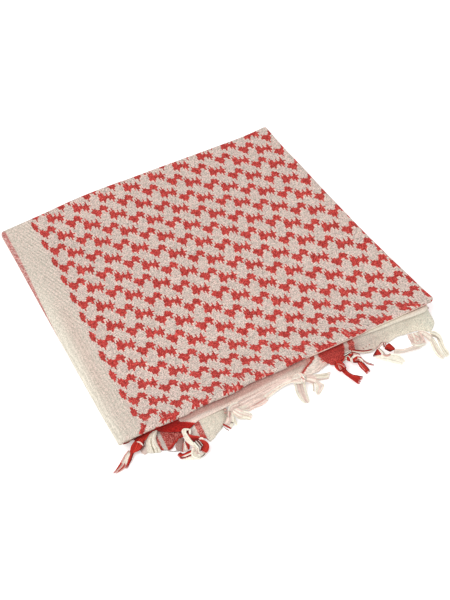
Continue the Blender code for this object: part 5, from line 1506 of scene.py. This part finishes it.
patterned = patterned_material()
ROSE = (0.575, 0.362, 0.312)
second_look = striped_material(
    "second_cloth",
    [(-175, -108.5, 0.97, 0.95), (37.0, 41.4, 0.50, 0.10), (41.0, 46.5, 1.0, 0.75), (51.0, 79.6, 0.97, 0.85), (84.2, 90.6, 0.95, 0.6)],
    [(0, (0.60, 0.45, 0.395)), (-100, (0.705, 0.590, 0.530), 10), (-70, ROSE, 18), (-10, (0.60, 0.43, 0.375), 16),
     (15, (0.60, 0.48, 0.415), 12), (44, (0.66, 0.585, 0.52), 2), (72, (0.50, 0.370, 0.330), 4),
     (95, (0.54, 0.465, 0.40), 4),
     (114, (0.60, 0.540, 0.455), 8), (132, (0.625, 0.580, 0.480), 12), (166, (0.555, 0.535, 0.445), 9)],
    # painted shade near the crest under the top fold and towards the left end, painted light towards the lower lip
    [("v", 11.0, 2.0, -0.18), ("u", -128.0, -150.0, -0.25), ("v", 16.0, 22.0, 0.10)],
    (15.0, 20.0, -108.5), shade_and_light_falls=[(15.0, 8.0, (0.44, 0.250, 0.215), -104.0, 36.0), (8.0, 2.5, (0.33, 0.160, 0.140), -78.0, 30.0),
           (14.0, 21.0, (0.74, 0.610, 0.540), -104.0, 36.0)],
    # spots: the first three darken the dense red stripe below the crease, a painted shade; the fourth is the deep red
    # of the left end, partly a painted shade; the last two lay pink and pale tones over the far left
    spots=[(40.0, 79.0, -2.0, 4.5, (0.16, 0.008, 0.007), 0.85, 2.0), (50.0, 79.0, 3.0, 9.0, (0.25, 0.020, 0.017), 0.55, 2.5),
           (50.0, 79.0, 2.0, 30.0, (0.37, 0.022, 0.018), 0.35, 2.0),
           (-175.0, -110.0, 4.0, 26.0, (0.250, 0.0065, 0.0055), 0.80, 1.5),
           (-180.0, -166.0, 10.0, 30.0, (0.56, 0.245, 0.225), 0.80, 1.0),
           (-166.5, -159.0, 10.0, 30.0, (0.74, 0.570, 0.440), 0.90, 1.2)],
    # strip: a pale roll tone, partly a painted highlight, and the strength of the painted shadow line below it
    strip=(STRIP[0], STRIP[1], STRIP[2], (0.765, 0.700, 0.595), 0.10))
third_look = striped_material(
    "third_cloth",
    [(-150, -134.8, 0.97, 0.30), (-131.0, -108.5, 0.97, 0.25), (-97.8, -90.6, 0.92, 0.15)],
    [(-420, (0.43, 0.25, 0.225)), (-300, (0.54, 0.455, 0.41), 20), (-112, (0.50, 0.42, 0.375), 6),
     (-104, (0.58, 0.51, 0.455), 4), (-90, (0.595, 0.545, 0.455), 4)],
    # shades: painted shade where the layer comes out from under the roll and towards its left end; bright: solid red at
    # the hem
    [("v", 14.0, 4.0, -0.26), ("u", -107.0, -112.0, -0.16)], (28.5, 31.5, None))
plain_look = striped_material("plain_cloth", [(900, 901, 0.0, 0.0)],
                              [(0, (0.74, 0.690, 0.585)), (300, (0.70, 0.56, 0.50), 10)])
yarn_look = yarn_material()

top = make_top_cloth(patterned)
stack = make_stack_cloth(patterned)
second = make_second_cloth(second_look)
third = make_third_cloth(third_look)
curl = make_curl_cloth(plain_look)
fringe = make_fringe(yarn_look)

for piece, node, slot in ((top, "top_layer", "patterned_cloth"), (stack, "folded_core", "patterned_cloth"),
                          (second, "second_layer", "striped_cloth"), (third, "third_layer", "striped_cloth"),
                          (curl, "edge_curl", "plain_cloth")):
    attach(piece, "root")
    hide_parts(node)
